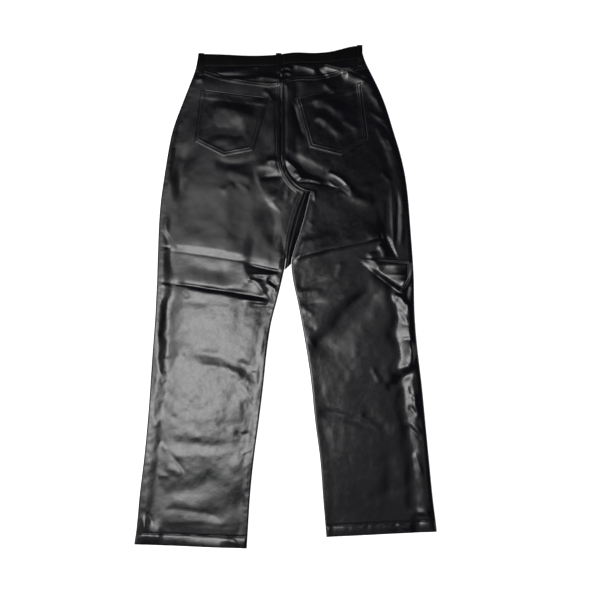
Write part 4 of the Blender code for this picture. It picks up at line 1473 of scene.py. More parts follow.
@dataclass
class BackLeg:
    """Back panel of one leg, from the hem to the yoke seam."""

    shop: Workshop
    side: Side
    wall: float = 1.2
    width: float = 245.0
    hem_swell: float = 0.55  # of the turned-up hem, in its middle
    hem_dip: float = 0.9  # of the panel just above the hem
    hem_round: float = 0.8  # of the fold at the hem's edge
    COLUMN_ZONES = ((2, 0.5), (12, 0.9), (40, 1.8), (-40, 3.3), (-12, 1.8), (-2, 0.9), (0, 0.5))
    ROW_ZONES = (
        (3, 0.6), (19, 1.6), (22, 0.75), (27, 1.25), (450, 3.4), (640, 1.8), (820, 2.3), (-4, 3.4), (0, 0.6),
    )

    def build(self) -> Array:
        """Model the panel.

        Returns:
            Grid of points of its outer face.
        """
        garment, left = self.shop.garment, self.side is Side.LEFT
        length = float(garment.yoke_seam(garment.centre) - min(end[1] for end in garment.hems[self.side]))
        columns, rows = graded(self.width, self.COLUMN_ZONES), graded(length, self.ROW_ZONES)
        corner = garment.yoke_ends[0 if left else 1]
        inner = garment.left_in if left else garment.right_in
        x, y = self.shop.leg_grid(self.side, columns, rows, garment.yoke_seam, corner, inner)
        points = self.shop.relief.surface(x, y, left)
        points[..., 2] += self.sewing(x, y) + self.hemming(x, y)
        return points

    def sewing(self, x: Array, y: Array) -> Array:
        """What the seams add to the height.

        Args:
            x: X of each point.
            y: Y of each point.

        Returns:
            Rise of each point.
        """
        garment = self.shop.garment
        seat = garment.seat_line().distance(x, y)
        row = SEAT_ROWS[self.side]
        seated = smooth_step((y - garment.crotch[1] + 6.0) / 8.0)
        fall = seam_fall(seat) * SEAT_DIPS[self.side]
        rise = seated * (padding(seat, row + 1.0) - fall - groove(seat, (row,)))
        ends = (garment.yoke_ends[0][0], garment.yoke_ends[1][0])
        rise -= seam_fall(garment.line_across(garment.yoke_seam, *ends).distance(x, y)) * PANEL_DIP
        if self.side is Side.LEFT:
            beside = garment.left_in(y) - x
            joined = smooth_step((y - garment.apex) / 6.0) * (1.0 - seated)
            sewn = 0.3 * padding(beside, 3.0) - groove(beside, (INSEAM_ROW,))
            rise += joined * (sewn - PANEL_DIP * seam_fall(beside))
        return rise

    def hemming(self, x: Array, y: Array) -> Array:
        """What the turned-up hem adds to the height.

        Args:
            x: X of each point.
            y: Y of each point.

        Returns:
            Rise of each point.
        """
        garment, relief, left = self.shop.garment, self.shop.relief, self.side is Side.LEFT
        hem = relief.above_hem(x, y)
        step = 1.0 - smooth_step((hem - relief.HEM_DEPTH + 0.6) / 1.4)
        ripple = 0.22 * relief.fine(x / 8.0, y / 16.0) + 0.2 * relief.middling(x / 21.0, y / 30.0)
        away = smooth_step(np.minimum(garment.inside(x, y, left), garment.outside(x, y, left)) / 6.0)
        ripple = ripple + self.hem_swell * np.sin(math.pi * np.clip(hem / relief.HEM_DEPTH, 0.0, 1.0))
        rise = away * step * (relief.HEM_LIFT + ripple) - groove(hem, (HEM_ROW,)) * away
        rise -= away * self.hem_dip * mound(hem - relief.HEM_DEPTH - 1.6, 1.5)
        rise -= self.hem_round * (1.0 - bulge(hem / 1.6)) * away
        return rise

    def dress(self) -> None:
        side = self.side.value
        name, node, rests_on = f"back_panel_{side}", f"leg_back_{side}", [f"front_panel_{side}"]
        self.shop.lay(name, self.build(), self.wall, Slot.LEATHER, node, rests_on)


@dataclass
class InseamStrip:
    """Strip of the left front that is rolled to the back beside the inseam, above the apex."""

    shop: Workshop
    wall: float = 1.2
    tuck: float = 0.5
    step_down: float = 0.4  # below the panel beside it
    low_level: float = 2.4
    ridge: float = 0.42
    ridges: Point = (0.06, 0.44)  # shares of the width at which the thin ridges lie
    ridge_width: float = 0.045
    tip: Point = (24.0, 11.0)  # how far the oblique lower end hangs below the apex, left and right
    ROWS, COLUMNS = 150, 56

    def build(self) -> Array:
        """Model the strip.

        Returns:
            Grid of points of its outer face.
        """
        garment, relief = self.shop.garment, self.shop.relief
        along, u = np.linspace(0.0, 1.0, self.ROWS)[:, None], np.linspace(0.0, 1.0, self.COLUMNS)[None]
        low = garment.apex - self.tip[0] - (self.tip[1] - self.tip[0]) * u
        y = low + (garment.crotch[1] - 0.5 - low) * along
        start, end = garment.left_in(y) + self.tuck, garment.right_in(y) - self.tuck
        x = start + (end - start) * u
        beside = relief.surface(garment.left_in(y) - 2.0, y, True)[..., 2]
        level = beside - self.step_down - (beside - self.low_level) * u
        for place in self.ridges:
            level += self.ridge * mound(u - place, self.ridge_width)
        return np.stack([x, y, level], axis=-1)

    def dress(self) -> None:
        name, node, rests_on = "inseam_strip", "inseam_strip_left", ["front_panel_left"]
        self.shop.lay(name, self.build(), self.wall, Slot.LEATHER, node, rests_on)


@dataclass
class BackYoke:
    """Back yoke of one side, between the yoke seam and the waist seam."""

    shop: Workshop
    side: Side
    wall: float = 1.2
    width: float = 170.0
    depth: float = 36.0
    waist_dip: float = 0.5  # share of the whole dip
    GROOVE_SHARES = {Side.LEFT: 0.5, Side.RIGHT: 1.0}
    COLUMN_ZONES = ((2, 0.5), (12, 0.9), (-12, 1.7), (-2, 0.8), (0, 0.5))
    ROW_ZONES = ((2, 0.5), (9, 0.8), (-2, 1.1), (0, 0.5))

    def build(self) -> Array:
        """Model the yoke.

        Returns:
            Grid of points of its outer face.
        """
        garment, half = self.shop.garment, self.shop.ALLOW / 2
        k = 0 if self.side is Side.LEFT else 1
        columns, rows = graded(self.width, self.COLUMN_ZONES), graded(self.depth, self.ROW_ZONES)
        low = (garment.yoke_ends[k][0], garment.yoke_seam, half)
        high = (garment.band_low[k][0], garment.waist_seam, -half)
        x, y = self.shop.half_grid(self.side, columns, rows, low, high)
        points = self.shop.relief.surface(x, y, self.side is Side.LEFT)
        ends = (garment.yoke_ends[0][0], garment.yoke_ends[1][0])
        seam = garment.line_across(garment.yoke_seam, *ends).distance(x, y)
        waist = garment.line_across(garment.waist_seam, *ends).distance(x, y)
        seat, seat_row = np.abs(x - garment.centre), SEAT_ROWS[self.side]
        fall = seam_fall(seat) * SEAT_DIPS[self.side]
        rise = padding(seam, YOKE_ROWS[1] + 1.0) - seam_fall(seam)
        rise -= groove(seam, YOKE_ROWS) * self.GROOVE_SHARES[self.side]
        rise += padding(seat, seat_row + 1.0) - fall - groove(seat, (seat_row,))
        rise -= self.waist_dip * seam_fall(waist)
        points[..., 2] += rise
        return points

    def dress(self) -> None:
        side = self.side.value
        name, node, rests_on = f"yoke_panel_{side}", f"yoke_{side}", [f"front_panel_{side}"]
        self.shop.lay(name, self.build(), self.wall, Slot.LEATHER, node, rests_on)


@dataclass
class BackBand:
    """Back waistband, doubled over, from side to side."""

    shop: Workshop
    wall: float = 1.9
    width: float = 340.0
    depth: float = 26.0
    seam_dip: float = 0.6  # share of the whole dip
    COLUMN_ZONES = ((2, 0.5), (12, 0.9), (-12, 2.0), (-2, 0.9), (0, 0.5))
    ROW_ZONES = ((3, 0.5), (-3, 1.3), (0, 0.5))

    def build(self) -> Array:
        """Model the waistband.

        Returns:
            Grid of points of its outer face.
        """
        garment, relief = self.shop.garment, self.shop.relief
        half = self.shop.ALLOW / 2
        columns, rows = graded(self.width, self.COLUMN_ZONES), graded(self.depth, self.ROW_ZONES)
        low, high = garment.band_low, garment.band_high
        bottom = edge_across(columns, (low[0][0], low[1][0]), garment.waist_seam, half)
        top = edge_across(columns, (high[0][0], high[1][0]), garment.band_top)
        sides = [
            edge_along(rows, (bottom[k, 1], top[k, 1]), outline)
            for k, outline in ((0, garment.left_out), (-1, garment.right_out))
        ]
        for k, side in zip((0, -1), sides):
            side[0], side[-1] = bottom[k], top[k]
        x, y = FlatPiece(columns, rows, bottom, top, *sides).points()
        points = relief.surface(x, y, x < garment.centre)
        from_top = garment.band_top(x) - y
        from_seam = y - garment.waist_seam(x)
        rise = relief.BAND_STEP - groove(from_seam, (BAND_ROW,)) - self.seam_dip * seam_fall(from_seam)
        rise -= 1.0 - bulge(from_top / 2.2)
        points[..., 2] += rise
        return points

    def dress(self) -> None:
        rests_on = [f"waistband_front_panel_{side.value}" for side in (Side.LEFT, Side.RIGHT)]
        name, node = "waistband_back_panel", "waistband_back"
        self.shop.lay(name, self.build(), self.wall, Slot.WAISTBAND, node, rests_on)


# --- Pieces sewn on the back


@dataclass
class PatchPocket:
    """Patch pocket with a pointed lower edge, which lies on its panel."""

    shop: Workshop
    side: Side
    wall: float = 1.2
    gap: float = 0.35
    edge_rows: Point = (1.8, 8.0)
    mouth_row: float = 2.2
    smoothing: int = 60
    ZONES = ((2, 0.5), (11, 0.9), (0, 2.0))
    ROW_ZONES = ((2, 0.5), (11, 0.9), (-6, 2.0), (0, 0.75))
    # directions in which mouth, sides and point lie farthest out
    CORNERS = ((-1.0, 1.0), (1.0, 1.0), (0.7, -0.6), (0.0, -1.0), (-1.0, -0.5))

    def __post_init__(self) -> None:
        """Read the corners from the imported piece."""
        shape = NodeShape(f"back_pocket_{self.side.value}")
        corners = [shape.corner(*direction) for direction in self.CORNERS]
        self.mouth_left, self.mouth_right, self.side_right, self.point, self.side_left = corners
        self.sides = Seam([self.mouth_left, self.side_left, self.point, self.side_right, self.mouth_right])
        self.mouth = Seam([self.mouth_left, self.mouth_right])

    @property
    def name(self) -> str:
        """Name of the pocket's object."""
        return f"pocket_{self.side.value}"

    def grid(self) -> tuple[Array, Array]:
        """Lay out the pocket, with a column at its point.

        Returns:
            X and Y of every grid point.
        """
        spans = [float(np.linalg.norm(self.point - end)) for end in (self.side_left, self.side_right)]
        peak = spans[0] / sum(spans)
        near, far = (graded(span, self.ZONES) for span in spans)
        columns = np.concatenate([near * peak, 1.0 - far[-2::-1] * (1.0 - peak)])
        height = float(np.linalg.norm(self.mouth_left - self.side_left))
        rows = graded(height, self.ROW_ZONES)
        before = self.side_left + (self.point - self.side_left) * (columns / peak)[:, None]
        beyond = self.point + (self.side_right - self.point) * ((columns - peak) / (1.0 - peak))[:, None]
        return FlatPiece(
            columns,
            rows,
            np.where(columns[:, None] <= peak, before, beyond),
            edge_straight(columns, self.mouth_left, self.mouth_right),
            edge_straight(rows, self.side_left, self.mouth_left),
            edge_straight(rows, self.side_right, self.mouth_right),
        ).points()

    def build(self) -> Array:
        """Lay the pocket on its panel.

        Returns:
            Grid of points of its outer face.
        """
        x, y = self.grid()
        panel, _ = self.shop.faces_at((f"back_panel_{self.side.value}",), x, y)
        soft = panel.copy()
        for _ in range(self.smoothing):
            wide = np.pad(soft, 1, mode="edge")
            around = wide[:-2, 1:-1] + wide[2:, 1:-1] + wide[1:-1, :-2] + wide[1:-1, 2:]
            soft = np.maximum(0.5 * soft + 0.125 * around, panel)
        relief = self.shop.relief
        side, mouth = self.sides.distance(x, y), self.mouth.distance(x, y)
        inside = smooth_step((np.minimum(side, mouth) - 2.0) / 10.0)
        own = relief.crease_sum(x, y, POCKET_CREASES, self.side is Side.LEFT)[2]
        swell = 0.35 * relief.middling(x / 26.0 + 5.0, y / 33.0) + 0.12 * relief.fine(x / 9.0, y / 11.0)
        height = soft + self.gap + self.wall + inside * np.maximum(own + swell, -0.2) + 0.15 * inside
        height += padding(side, self.edge_rows[1] + 0.8, 0.3) + padding(mouth, 16.0, 0.25)
        height -= groove(side, self.edge_rows) + groove(mouth, (self.mouth_row,))
        height -= 0.3 * (1.0 - bulge(np.minimum(side, mouth) / 0.6))
        height = np.maximum(height, panel + self.gap + self.wall - 0.3)
        return np.stack([x, y, height], axis=-1)

    def dress(self) -> None:
        node, rests_on = f"back_pocket_{self.side.value}", [f"back_panel_{self.side.value}"]
        self.shop.lay(self.name, self.build(), self.wall, Slot.LEATHER, node, rests_on)


@dataclass
class BeltLoop:
    """Belt loop, folded to a doubled strip and sewn down at both ends."""

    shop: Workshop
    node: str
    on: Sequence[str]
    at_back: bool = True
    wall: float = 1.8
    gap: float = 0.3
    arch: float = 0.5
    edge_row: float = 2.2
    smoothing: int = 20
    COLUMN_STEP = 0.65
    ROW_STEP = 0.9
    REACH = 3  # rows over which the loop bridges what lies under it

    def __post_init__(self) -> None:
        """Read the loop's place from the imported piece."""
        low, high = (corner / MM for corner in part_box(self.node))
        self.low, self.high = low, high
        middle = (low.x + high.x) / 2
        self.line = Seam([(middle, low.y), (middle, high.y)])

    @property
    def name(self) -> str:
        """Name of the loop's object."""
        return f"{self.node}_strip"

    def build(self) -> Array:
        """Bend the loop over what lies under it.

        Returns:
            Grid of points of its outer face.
        """
        low, high = self.low, self.high
        columns = np.linspace(low.x, high.x, round((high.x - low.x) / self.COLUMN_STEP) + 1)
        rows = np.linspace(low.y, high.y, round((high.y - low.y) / self.ROW_STEP) + 1)
        x, y = np.meshgrid(columns, rows)
        from_side = np.minimum(x - low.x, high.x - x)
        from_end = np.minimum(y - low.y, high.y - y)
        uneven = 0.12 * self.shop.relief.fine(x / 7.0, y / 7.0)
        sewn = groove(from_side, (self.edge_row,)) + 0.45 * (1.0 - smooth_step((from_end - 2.0) / 3.0))
        rounded = 0.6 * (1.0 - bulge(from_side / 1.3)) + 0.6 * (1.0 - bulge(from_end / 1.2))
        if not self.at_back:
            height = np.minimum(0.02 + sewn * 0.6 + rounded * 0.8, 1.2)
            return np.stack([x, y, height], axis=-1)
        under, _ = self.shop.faces_at(self.on, x, y)
        known = np.max(np.where(np.isnan(under), -np.inf, under), axis=1)
        good = np.isfinite(known)
        base = np.interp(rows, rows[good], known[good])
        reach = self.REACH
        wide = np.pad(base, reach, mode="edge")
        highest = np.max([np.roll(wide, k)[reach:-reach] for k in range(-reach, reach + 1)], axis=0)
        for _ in range(self.smoothing):
            wide = np.pad(highest, 1, mode="edge")
            highest = np.maximum(0.5 * highest + 0.25 * (wide[:-2] + wide[2:]), base)
        arched = self.arch * np.sin(math.pi * (rows - low.y) / (high.y - low.y))
        height = (highest + arched)[:, None] + self.gap + self.wall - sewn - rounded + uneven
        return np.stack([x, y, height], axis=-1)

    def dress(self) -> None:
        self.shop.lay(
            self.name, self.build(), self.wall, Slot.WAISTBAND, self.node, self.on, faces_up=self.at_back
        )


# --- Pieces of the front, which lies on the floor


@dataclass
class FrontLeg:
    """Front panel of one leg, from the hem to the waist seam."""

    shop: Workshop
    side: Side
    wall: float = 1.2
    width: float = 245.0
    fly_reach: float = 38.0
    fly_depth: float = 150.0
    fly_curve: float = 30.0
    fly_gap: float = 6.0
    COLUMN_ZONES = ((2, 0.5), (8, 1.0), (-8, 3.7), (-2, 1.0), (0, 0.5))
    ROW_ZONES = ((3, 0.8), (19, 2.0), (22, 0.75), (450, 5.2), (720, 3.8), (-30, 4.6), (0, 2.4))

    def inner(self, y: Array) -> Array:
        """Inner edge, which reaches the right leg above the apex.

        Args:
            y: Height of each point on it.

        Returns:
            X of each point.
        """
        garment = self.shop.garment
        if self.side is Side.RIGHT:
            return garment.right_in(y)
        return np.where(y < garment.apex, garment.left_in(y), garment.right_in(y))

    def build(self) -> Array:
        """Model the panel.

        Returns:
            Grid of points of its outer face.
        """
        garment, relief, left = self.shop.garment, self.shop.relief, self.side is Side.LEFT
        seam_y = float(garment.waist_seam(garment.centre)) - self.shop.ALLOW / 2
        length = seam_y - min(end[1] for end in garment.hems[self.side])
        columns, rows = graded(self.width, self.COLUMN_ZONES), graded(length, self.ROW_ZONES)
        corner = garment.band_low[0 if left else 1]
        x, y = self.shop.leg_grid(self.side, columns, rows, garment.waist_seam, corner, self.inner)
        inside = np.maximum(self.inner(y) - x if left else x - self.inner(y), 0.0)
        joined_from = garment.apex if left else garment.crotch[1]
        inside = inside + relief.FAR * smooth_step((y - joined_from + 5.0) / 8.0)
        beside = np.minimum(inside, np.maximum(garment.outside(x, y, left), 0.0))
        height = relief.underside(x, y, beside)
        grooves = groove(relief.above_hem(x, y), (HEM_ROW,))
        if left:
            for seam in self.fly():
                grooves = grooves + groove(seam.distance(x, y), (0.0,))
        height += grooves * smooth_step(beside / 5.0)
        return np.stack([x, y, height], axis=-1)

    def fly(self) -> tuple[Seam, Seam]:
        """Rows of stitches beside the centre front.

        Returns:
            Two rows that curve in at their lower end.
        """
        garment, bend = self.shop.garment, self.fly_curve
        high = float(garment.waist_seam(garment.centre)) - 2.0
        turn = np.linspace(0.0, math.pi / 2, 12)
        x = garment.centre - self.fly_reach * np.cos(turn)
        y = high - self.fly_depth + bend - bend * np.sin(turn)
        outer = Seam(np.vstack([[[garment.centre - self.fly_reach, high]], np.stack([x, y], axis=1)]))
        return outer, outer.beside(self.fly_gap)

    def dress(self) -> None:
        name, node = f"front_panel_{self.side.value}", f"leg_front_{self.side.value}"
        self.shop.lay(name, self.build(), self.wall, Slot.LEATHER, node, ["floor"], faces_up=False)


@dataclass
class FrontBand:
    """Front waistband of one side, doubled over."""

    shop: Workshop
    side: Side
    wall: float = 1.9
    width: float = 165.0
    depth: float = 23.0
    drop: float = 3.0
    rounding: Point = (0.8, 1.8)  # height and reach of the round upper edge
    COLUMN_ZONES = ((2, 0.5), (8, 1.0), (-8, 2.4), (-2, 1.0), (0, 0.5))
    ROW_ZONES = ((3, 0.6), (-3, 1.8), (0, 0.6))

    def build(self) -> Array:
        """Model the band.

        Returns:
            Grid of points of its outer face.
        """
        garment, left = self.shop.garment, self.side is Side.LEFT
        k = 0 if left else 1
        columns, rows = graded(self.width, self.COLUMN_ZONES), graded(self.depth, self.ROW_ZONES)
        low = (garment.band_low[k][0], garment.waist_seam, self.shop.ALLOW / 2)
        high = (garment.band_high[k][0], garment.band_top, -self.drop)
        x, y = self.shop.half_grid(self.side, columns, rows, low, high)
        outside = np.maximum(garment.outside(x, y, left), 0.0)
        height = self.shop.relief.underside(x, y, outside)
        height += groove(y - garment.waist_seam(x), (BAND_ROW,))
        rise, reach = self.rounding
        height += rise * (1.0 - bulge((garment.band_top(x) - self.drop - y) / reach))
        return np.stack([x, y, height], axis=-1)

    def dress(self) -> None:
        name, node = f"waistband_front_panel_{self.side.value}", f"waistband_front_{self.side.value}"
        rests_on = [f"belt_loop_front_{self.side.value}_strip"]
        self.shop.lay(name, self.build(), self.wall, Slot.WAISTBAND, node, rests_on, faces_up=False)


@dataclass
class WaistButton:
    """Metal button at the centre front, with a raised rim and a sunk ring on its outer face."""

    shop: Workshop
    sides: int = 48
    rim: float = 1.1
    slope: float = 0.25
    ring: float = 2.4
    dish: float = 0.4
    sink: float = 0.35
    edge: float = 0.35

    def build(self) -> bpy.types.Object:
        """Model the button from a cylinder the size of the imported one.

        Returns:
            The button, with its bevel still to be applied.
        """
        low, high = (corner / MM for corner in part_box("waist_button"))
        radius, depth = (high.x - low.x) / 2, high.z - low.z
        bpy.ops.object.select_all(action="DESELECT")
        bpy.ops.mesh.primitive_cylinder_add(
            vertices=self.sides, radius=radius * MM, depth=depth * MM, location=(low + high) / 2 * MM
        )
        made = bpy.context.object
        made.name = "waist_button_shell"
        bpy.ops.object.mode_set(mode="EDIT")
        bpy.ops.mesh.select_all(action="DESELECT")
        bpy.ops.object.mode_set(mode="OBJECT")
        for face in made.data.polygons:
            face.select = face.normal.z < -0.9
        bpy.ops.object.mode_set(mode="EDIT")
        bpy.ops.mesh.select_mode(type="FACE")
        bpy.ops.mesh.inset(thickness=self.rim * MM)
        bpy.ops.mesh.inset(thickness=self.slope * MM, depth=-self.sink * MM)
        bpy.ops.mesh.inset(thickness=self.ring * MM)
        bpy.ops.mesh.inset(thickness=self.dish * MM, depth=0.6 * self.sink * MM)
        bpy.ops.object.mode_set(mode="OBJECT")
        bpy.ops.object.transform_apply(location=True, rotation=True, scale=True)
        rim = made.modifiers.new("rim", "BEVEL")
        rim.width = self.edge * MM
        rim.segments = 3
        rim.limit_method = "ANGLE"
        rim.angle_limit = math.radians(40.0)
        return made

    def dress(self) -> None:
        """Model the button and give it its finish."""
        made = self.build()
        self.shop.finish(made, Slot.METAL, 35.0)
        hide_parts("waist_button")
        log.info("%s: %d faces", made.name, len(made.data.polygons))


# --- Stitches


@dataclass
class Topstitching:
    """Rows of stitches that lie in their grooves; each group of rows is one object."""

    shop: Workshop
    pitch: float = 3.2
    length: float = 2.4
    radius: float = 0.36
    tack_pitch: float = 0.75
    tack_length: float = 7.0
    proud: float = 0.06  # height of a stitch's middle above the cloth
    lowest: float = 0.38  # least height of a stitch's middle above the floor
    STEEPEST = 0.3  # least upward share of the normal where a stitch still holds

    def __post_init__(self) -> None:
        """Model one stitch, to be copied."""
        self.groups: dict[str, list[Array]] = {}
        bpy.ops.object.select_all(action="DESELECT")
        bpy.ops.mesh.primitive_uv_sphere_add(segments=6, ring_count=4, radius=1.0)
        ball = bpy.context.object
        self.points = np.array([tuple(v.co) for v in ball.data.vertices])[:, [2, 0, 1]]
        self.faces = [tuple(face.vertices) for face in ball.data.polygons]
        bpy.data.objects.remove(ball, do_unlink=True)

    def place(self, group: str, spots: Array, ahead: Array, on: Sequence[str], upper: bool = True) -> None:
        """Lay stitches on the named pieces.

        Args:
            group: Object that the stitches go to.
            spots: X and Y of each stitch's middle.
            ahead: Direction of each stitch in the plane.
            on: Pieces that the stitches lie on.
            upper: Whether they lie on top, and not on the underside.
        """
        heights, normals = self.shop.faces_at(on, spots[:, 0], spots[:, 1], upper)
        for spot, along, height, normal in zip(spots, ahead, heights, normals):
            if math.isnan(height) or abs(normal[2]) < self.STEEPEST:
                continue
            middle = np.array([*spot, height]) + self.proud * normal
            middle[2] = max(middle[2], self.lowest)
            run = np.array([along[0], along[1], -(normal[:2] @ along) / normal[2]])
            run /= np.linalg.norm(run)
            across = np.cross(normal, run)
            axes = np.stack([run * self.length / 2, across * self.radius, normal * self.radius])
            self.groups.setdefault(group, []).append(middle + self.points @ axes)

    def row(self, group: str, seam: Seam, on: Sequence[str], upper: bool = True) -> None:
        """Lay a row of stitches along a seam.

        Args:
            group: Object that the stitches go to.
            seam: The seam.
            on: Pieces that the stitches lie on.
            upper: Whether they lie on top, and not on the underside.
        """
        along = seam.lengths()
        count = max(1, int(along[-1] / self.pitch))
        middles = (np.arange(count) + 0.5) * along[-1] / count
        spots, before, after = (
            np.stack([np.interp(middles + d, along, seam.points[:, k]) for k in (0, 1)], axis=1)
            for d in (0.0, -1.0, 1.0)
        )
        ahead = after - before
        ahead /= np.linalg.norm(ahead, axis=1)[:, None]
        self.place(group, spots, ahead, on, upper)

    def tack(self, group: str, ends: Sequence[Point], on: Sequence[str], upper: bool = True) -> None:
        """Lay a bar of stitches side by side.

        Args:
            group: Object that the stitches go to.
            ends: Both ends of the bar.
            on: Pieces that the stitches lie on.
            upper: Whether they lie on top, and not on the underside.
        """
        start, end = np.array(ends, float)
        run = end - start
        length = float(np.linalg.norm(run))
        count = max(2, int(length / self.tack_pitch))
        spots = start + run * ((np.arange(count) + 0.5) / count)[:, None]
        ahead = np.broadcast_to(np.array([-run[1], run[0]]) / length, spots.shape)
        self.place(group, spots, ahead, on, upper)

    def back_rows(self) -> None:
        """Rows on the back's panels, yokes and waistband."""
        garment = self.shop.garment
        yokes = ("yoke_panel_left", "yoke_panel_right")
        seat = garment.seat_line()
        for side, sign in ((Side.RIGHT, 1.0), (Side.LEFT, -1.0)):
            on = (f"back_panel_{side.value}", f"yoke_panel_{side.value}")
            self.row("stitches_seat", seat.beside(sign * SEAT_ROWS[side]).between(3.0, -2.0), on)
        for low, high in self.halves(garment.yoke_ends, 3.0):
            for offset in YOKE_ROWS:
                seam = garment.line_across(garment.yoke_seam, low, high).beside(offset)
                self.row("stitches_yokes", seam, yokes)
        low, high = garment.band_low[0][0] + 2.5, garment.band_low[1][0] - 2.5
        seam = garment.line_across(garment.waist_seam, low, high).beside(BAND_ROW)
        self.row("stitches_waistband", seam, ("waistband_back_panel",))
        top = garment.crotch[1] - 6.0
        seam = garment.line_along(garment.left_in, garment.apex + 3.0, top).beside(INSEAM_ROW)
        self.row("stitches_inseam", seam, ("back_panel_left",))
        start, end = garment.left_in, garment.right_in
        seam = garment.line_along(lambda y: (start(y) + end(y)) / 2, garment.apex + 4.0, top)
        self.row("stitches_inseam", seam, ("inseam_strip",))
        self.hem_rows("stitches_hems", "back_panel", 2.0)

    def halves(self, ends: Sequence[Array], margin: float) -> tuple[Point, Point]:
        """Spans in X of a left and a right row that stop short of a seam's ends and of the centre."""
        centre = self.shop.garment.centre
        return (ends[0][0] + margin, centre - 2.0), (centre + 2.0, ends[1][0] - margin)

    def hem_rows(self, group: str, panel: str, margin: float, upper: bool = True) -> None:
        """Lay a row along both hems.

        Args:
            group: Object that the stitches go to.
            panel: Start of the panels' names.
            margin: How far short of the sides the rows stop.
            upper: Whether they lie on top, and not on the underside.
        """
        for side, hem in self.shop.garment.hems.items():
            seam = Seam(hem).beside(HEM_ROW).between(margin, -margin)
            self.row(group, seam, (f"{panel}_{side.value}",), upper)

    def front_rows(self) -> None:
        """Rows on the underside: hems, waistband and fly."""
        garment = self.shop.garment
        self.hem_rows("stitches_front_hems", "front_panel", 6.0, upper=False)
        for side, (low, high) in zip(Side, self.halves(garment.band_low, 6.0)):
            seam = garment.line_across(garment.waist_seam, low, high).beside(BAND_ROW)
            self.row("stitches_front_band", seam, (f"waistband_front_panel_{side.value}",), upper=False)
        for seam in FrontLeg(self.shop, Side.LEFT).fly():
            self.row("stitches_fly", seam, ("front_panel_left",), upper=False)

    def pocket_rows(self, pocket: PatchPocket) -> None:
        """Lay the rows and the corner bars of a pocket.

        Args:
            pocket: The pocket.
        """
        group, on = f"stitches_{pocket.name}", (pocket.name,)
        rows = [pocket.sides.beside(offset) for offset in pocket.edge_rows]
        for row in (*rows, pocket.mouth.beside(-pocket.mouth_row)):
            self.row(group, row.between(2.5, -2.5), on)
        ahead = pocket.mouth_right - pocket.mouth_left
        ahead /= np.linalg.norm(ahead)
        down = np.array([ahead[1], -ahead[0]])
        for corner, sign in ((pocket.mouth_left, 1.0), (pocket.mouth_right, -1.0)):
            start = corner + sign * ahead * 1.6 + down * 1.4
            self.tack(group, (start, start + sign * ahead * self.tack_length), on)

    def loop_rows(self, loop: BeltLoop) -> None:
        """Lay the rows and the end bars of a belt loop.

        Args:
            loop: The belt loop.
        """
        group, on = f"stitches_{loop.node}", (loop.name,)
        half = (loop.high.x - loop.low.x) / 2 - loop.edge_row
        for offset in (-half, half):
            self.row(group, loop.line.beside(offset).between(3.0, -3.0), on, loop.at_back)
        for y in (loop.low.y + 1.8, loop.high.y - 1.8):
            self.tack(group, ((loop.low.x + 1.2, y), (loop.high.x - 1.2, y)), on, loop.at_back)

    def dress(self) -> None:
        """Make one object from each group of stitches."""
        for group, stitches in self.groups.items():
            points = np.concatenate(stitches) * MM
            step = len(self.points)
            faces = [[v + k * step for v in face] for k in range(len(stitches)) for face in self.faces]
            mesh = bpy.data.meshes.new(group)
            mesh.from_pydata(points.tolist(), [], faces)
            made = add_object(group, mesh)
            self.shop.finish(made, Slot.LEATHER, 180.0)
            made.data.materials[0] = self.shop.thread
            log.info("%s: %d stitches", group, len(stitches))


# --- Studio


@dataclass(frozen=True)
class SoftLight:
    """Area light that faces a spot, with an even radiance over its face."""

    name: str
    place: Triple
    aim: Triple
    size: Point
    radiance: float

    def build(self) -> None:
        """Add the light."""
        lamp = bpy.data.lights.new(self.name, "AREA")
        lamp.shape = "RECTANGLE"
        lamp.size, lamp.size_y = self.size
        lamp.energy = math.pi * self.size[0] * self.size[1] * self.radiance
        made = add_object(self.name, lamp)
        made.location = self.place
        made.rotation_euler = (Vector(self.aim) - Vector(self.place)).to_track_quat("-Z", "Y").to_euler()
        made.visible_camera = False


LIGHTS = (
    SoftLight("key_panel", (-0.375, -0.31, 2.3), (-0.375, -0.31, 0.0), (0.57, 0.56), 6.4),
    SoftLight("key_halo", (-0.45, -0.29, 2.31), (-0.45, -0.29, 0.0), (0.82, 0.82), 2.0),
    SoftLight("long_panel", (-0.76, -0.18, 2.35), (-0.76, -0.18, 0.0), (1.24, 1.40), 1.8),
    SoftLight("upper_panel", (-0.76, 0.61, 2.35), (-0.76, 0.61, 0.0), (1.24, 0.18), 0.25),
    SoftLight("ceiling", (-0.45, -0.575, 2.5), (-0.45, -0.575, 0.0), (2.2, 2.05), 0.25),
    SoftLight("side_left", (-2.2, -0.9, 1.3), (-0.1, 0.0, 0.0), (2.4, 1.8), 1.2),
    SoftLight("side_right", (2.2, 0.2, 0.8), (0.0, 0.0, 0.0), (2.4, 1.5), 0.6),
    SoftLight("side_back", (0.4, 2.3, 0.8), (0.0, 0.0, 0.0), (2.4, 1.5), 0.7),
    SoftLight("side_front", (0.2, -2.4, 0.9), (0.0, 0.0, 0.0), (2.4, 1.5), 0.6),
)


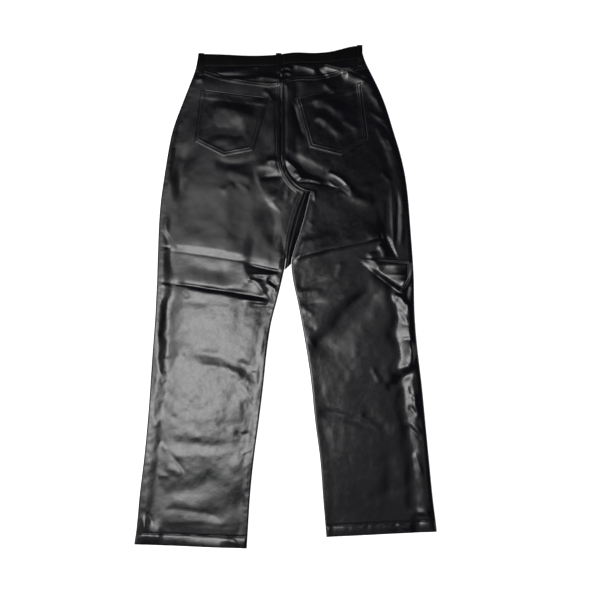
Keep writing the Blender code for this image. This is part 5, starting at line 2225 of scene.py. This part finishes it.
@dataclass
class Studio:
    """Floor, lights and camera, looking straight down."""

    lights: Sequence[SoftLight] = LIGHTS
    floor_size: float = 60.0
    floor_below: float = 0.0004
    height: float = 2.3
    field: float = 1.23  # width of what the camera sees
    aim: Point = (0.0297, -0.0062)
    sensor: float = 36.0
    ambient: float = 0.04

    def build(self) -> None:
        """Make everything around the garment."""
        bpy.ops.object.select_all(action="DESELECT")
        bpy.ops.mesh.primitive_plane_add(size=self.floor_size, location=(0.0, 0.0, -self.floor_below))
        floor = bpy.context.object
        floor.name = "floor"
        floor.data.materials.append(FloorPaint("floor_paint").make())
        for light in self.lights:
            light.build()
        lens = bpy.data.cameras.new("camera")
        lens.sensor_width = self.sensor
        lens.lens = self.sensor * self.height / self.field
        camera = add_object("camera", lens)
        camera.location = (*self.aim, self.height)
        bpy.context.scene.camera = camera
        world = bpy.data.worlds.new("studio")
        world.use_nodes = True
        background = world.node_tree.nodes["Background"]
        background.inputs["Color"].default_value = WHITE
        background.inputs["Strength"].default_value = self.ambient
        bpy.context.scene.world = world
        bpy.context.scene.view_settings.view_transform = "Standard"


def main() -> None:
    """Make the garment piece by piece, then its stitches and the studio."""
    logging.basicConfig(level=logging.INFO, format="%(name)s: %(message)s")
    shop = Workshop()
    Studio().build()
    for side in Side:
        FrontLeg(shop, side).dress()
        BackLeg(shop, side).dress()
        BackYoke(shop, side).dress()
        FrontBand(shop, side).dress()
    InseamStrip(shop).dress()
    BackBand(shop).dress()
    pockets = [PatchPocket(shop, side) for side in Side]
    for pocket in pockets:
        pocket.dress()
    panels = [f"{kind}_panel_{side.value}" for kind in ("yoke", "back") for side in Side]
    under = ("waistband_back_panel", *panels)
    loops = [BeltLoop(shop, f"belt_loop_{place}", under) for place in ("left", "centre", "right")]
    loops += [BeltLoop(shop, f"belt_loop_front_{side.value}", ("floor",), at_back=False) for side in Side]
    for loop in loops:
        loop.dress()
    WaistButton(shop).dress()
    stitching = Topstitching(shop)
    stitching.back_rows()
    stitching.front_rows()
    for pocket in pockets:
        stitching.pocket_rows(pocket)
    for loop in loops:
        stitching.loop_rows(loop)
    stitching.dress()


if __name__ == "__main__":
    main()
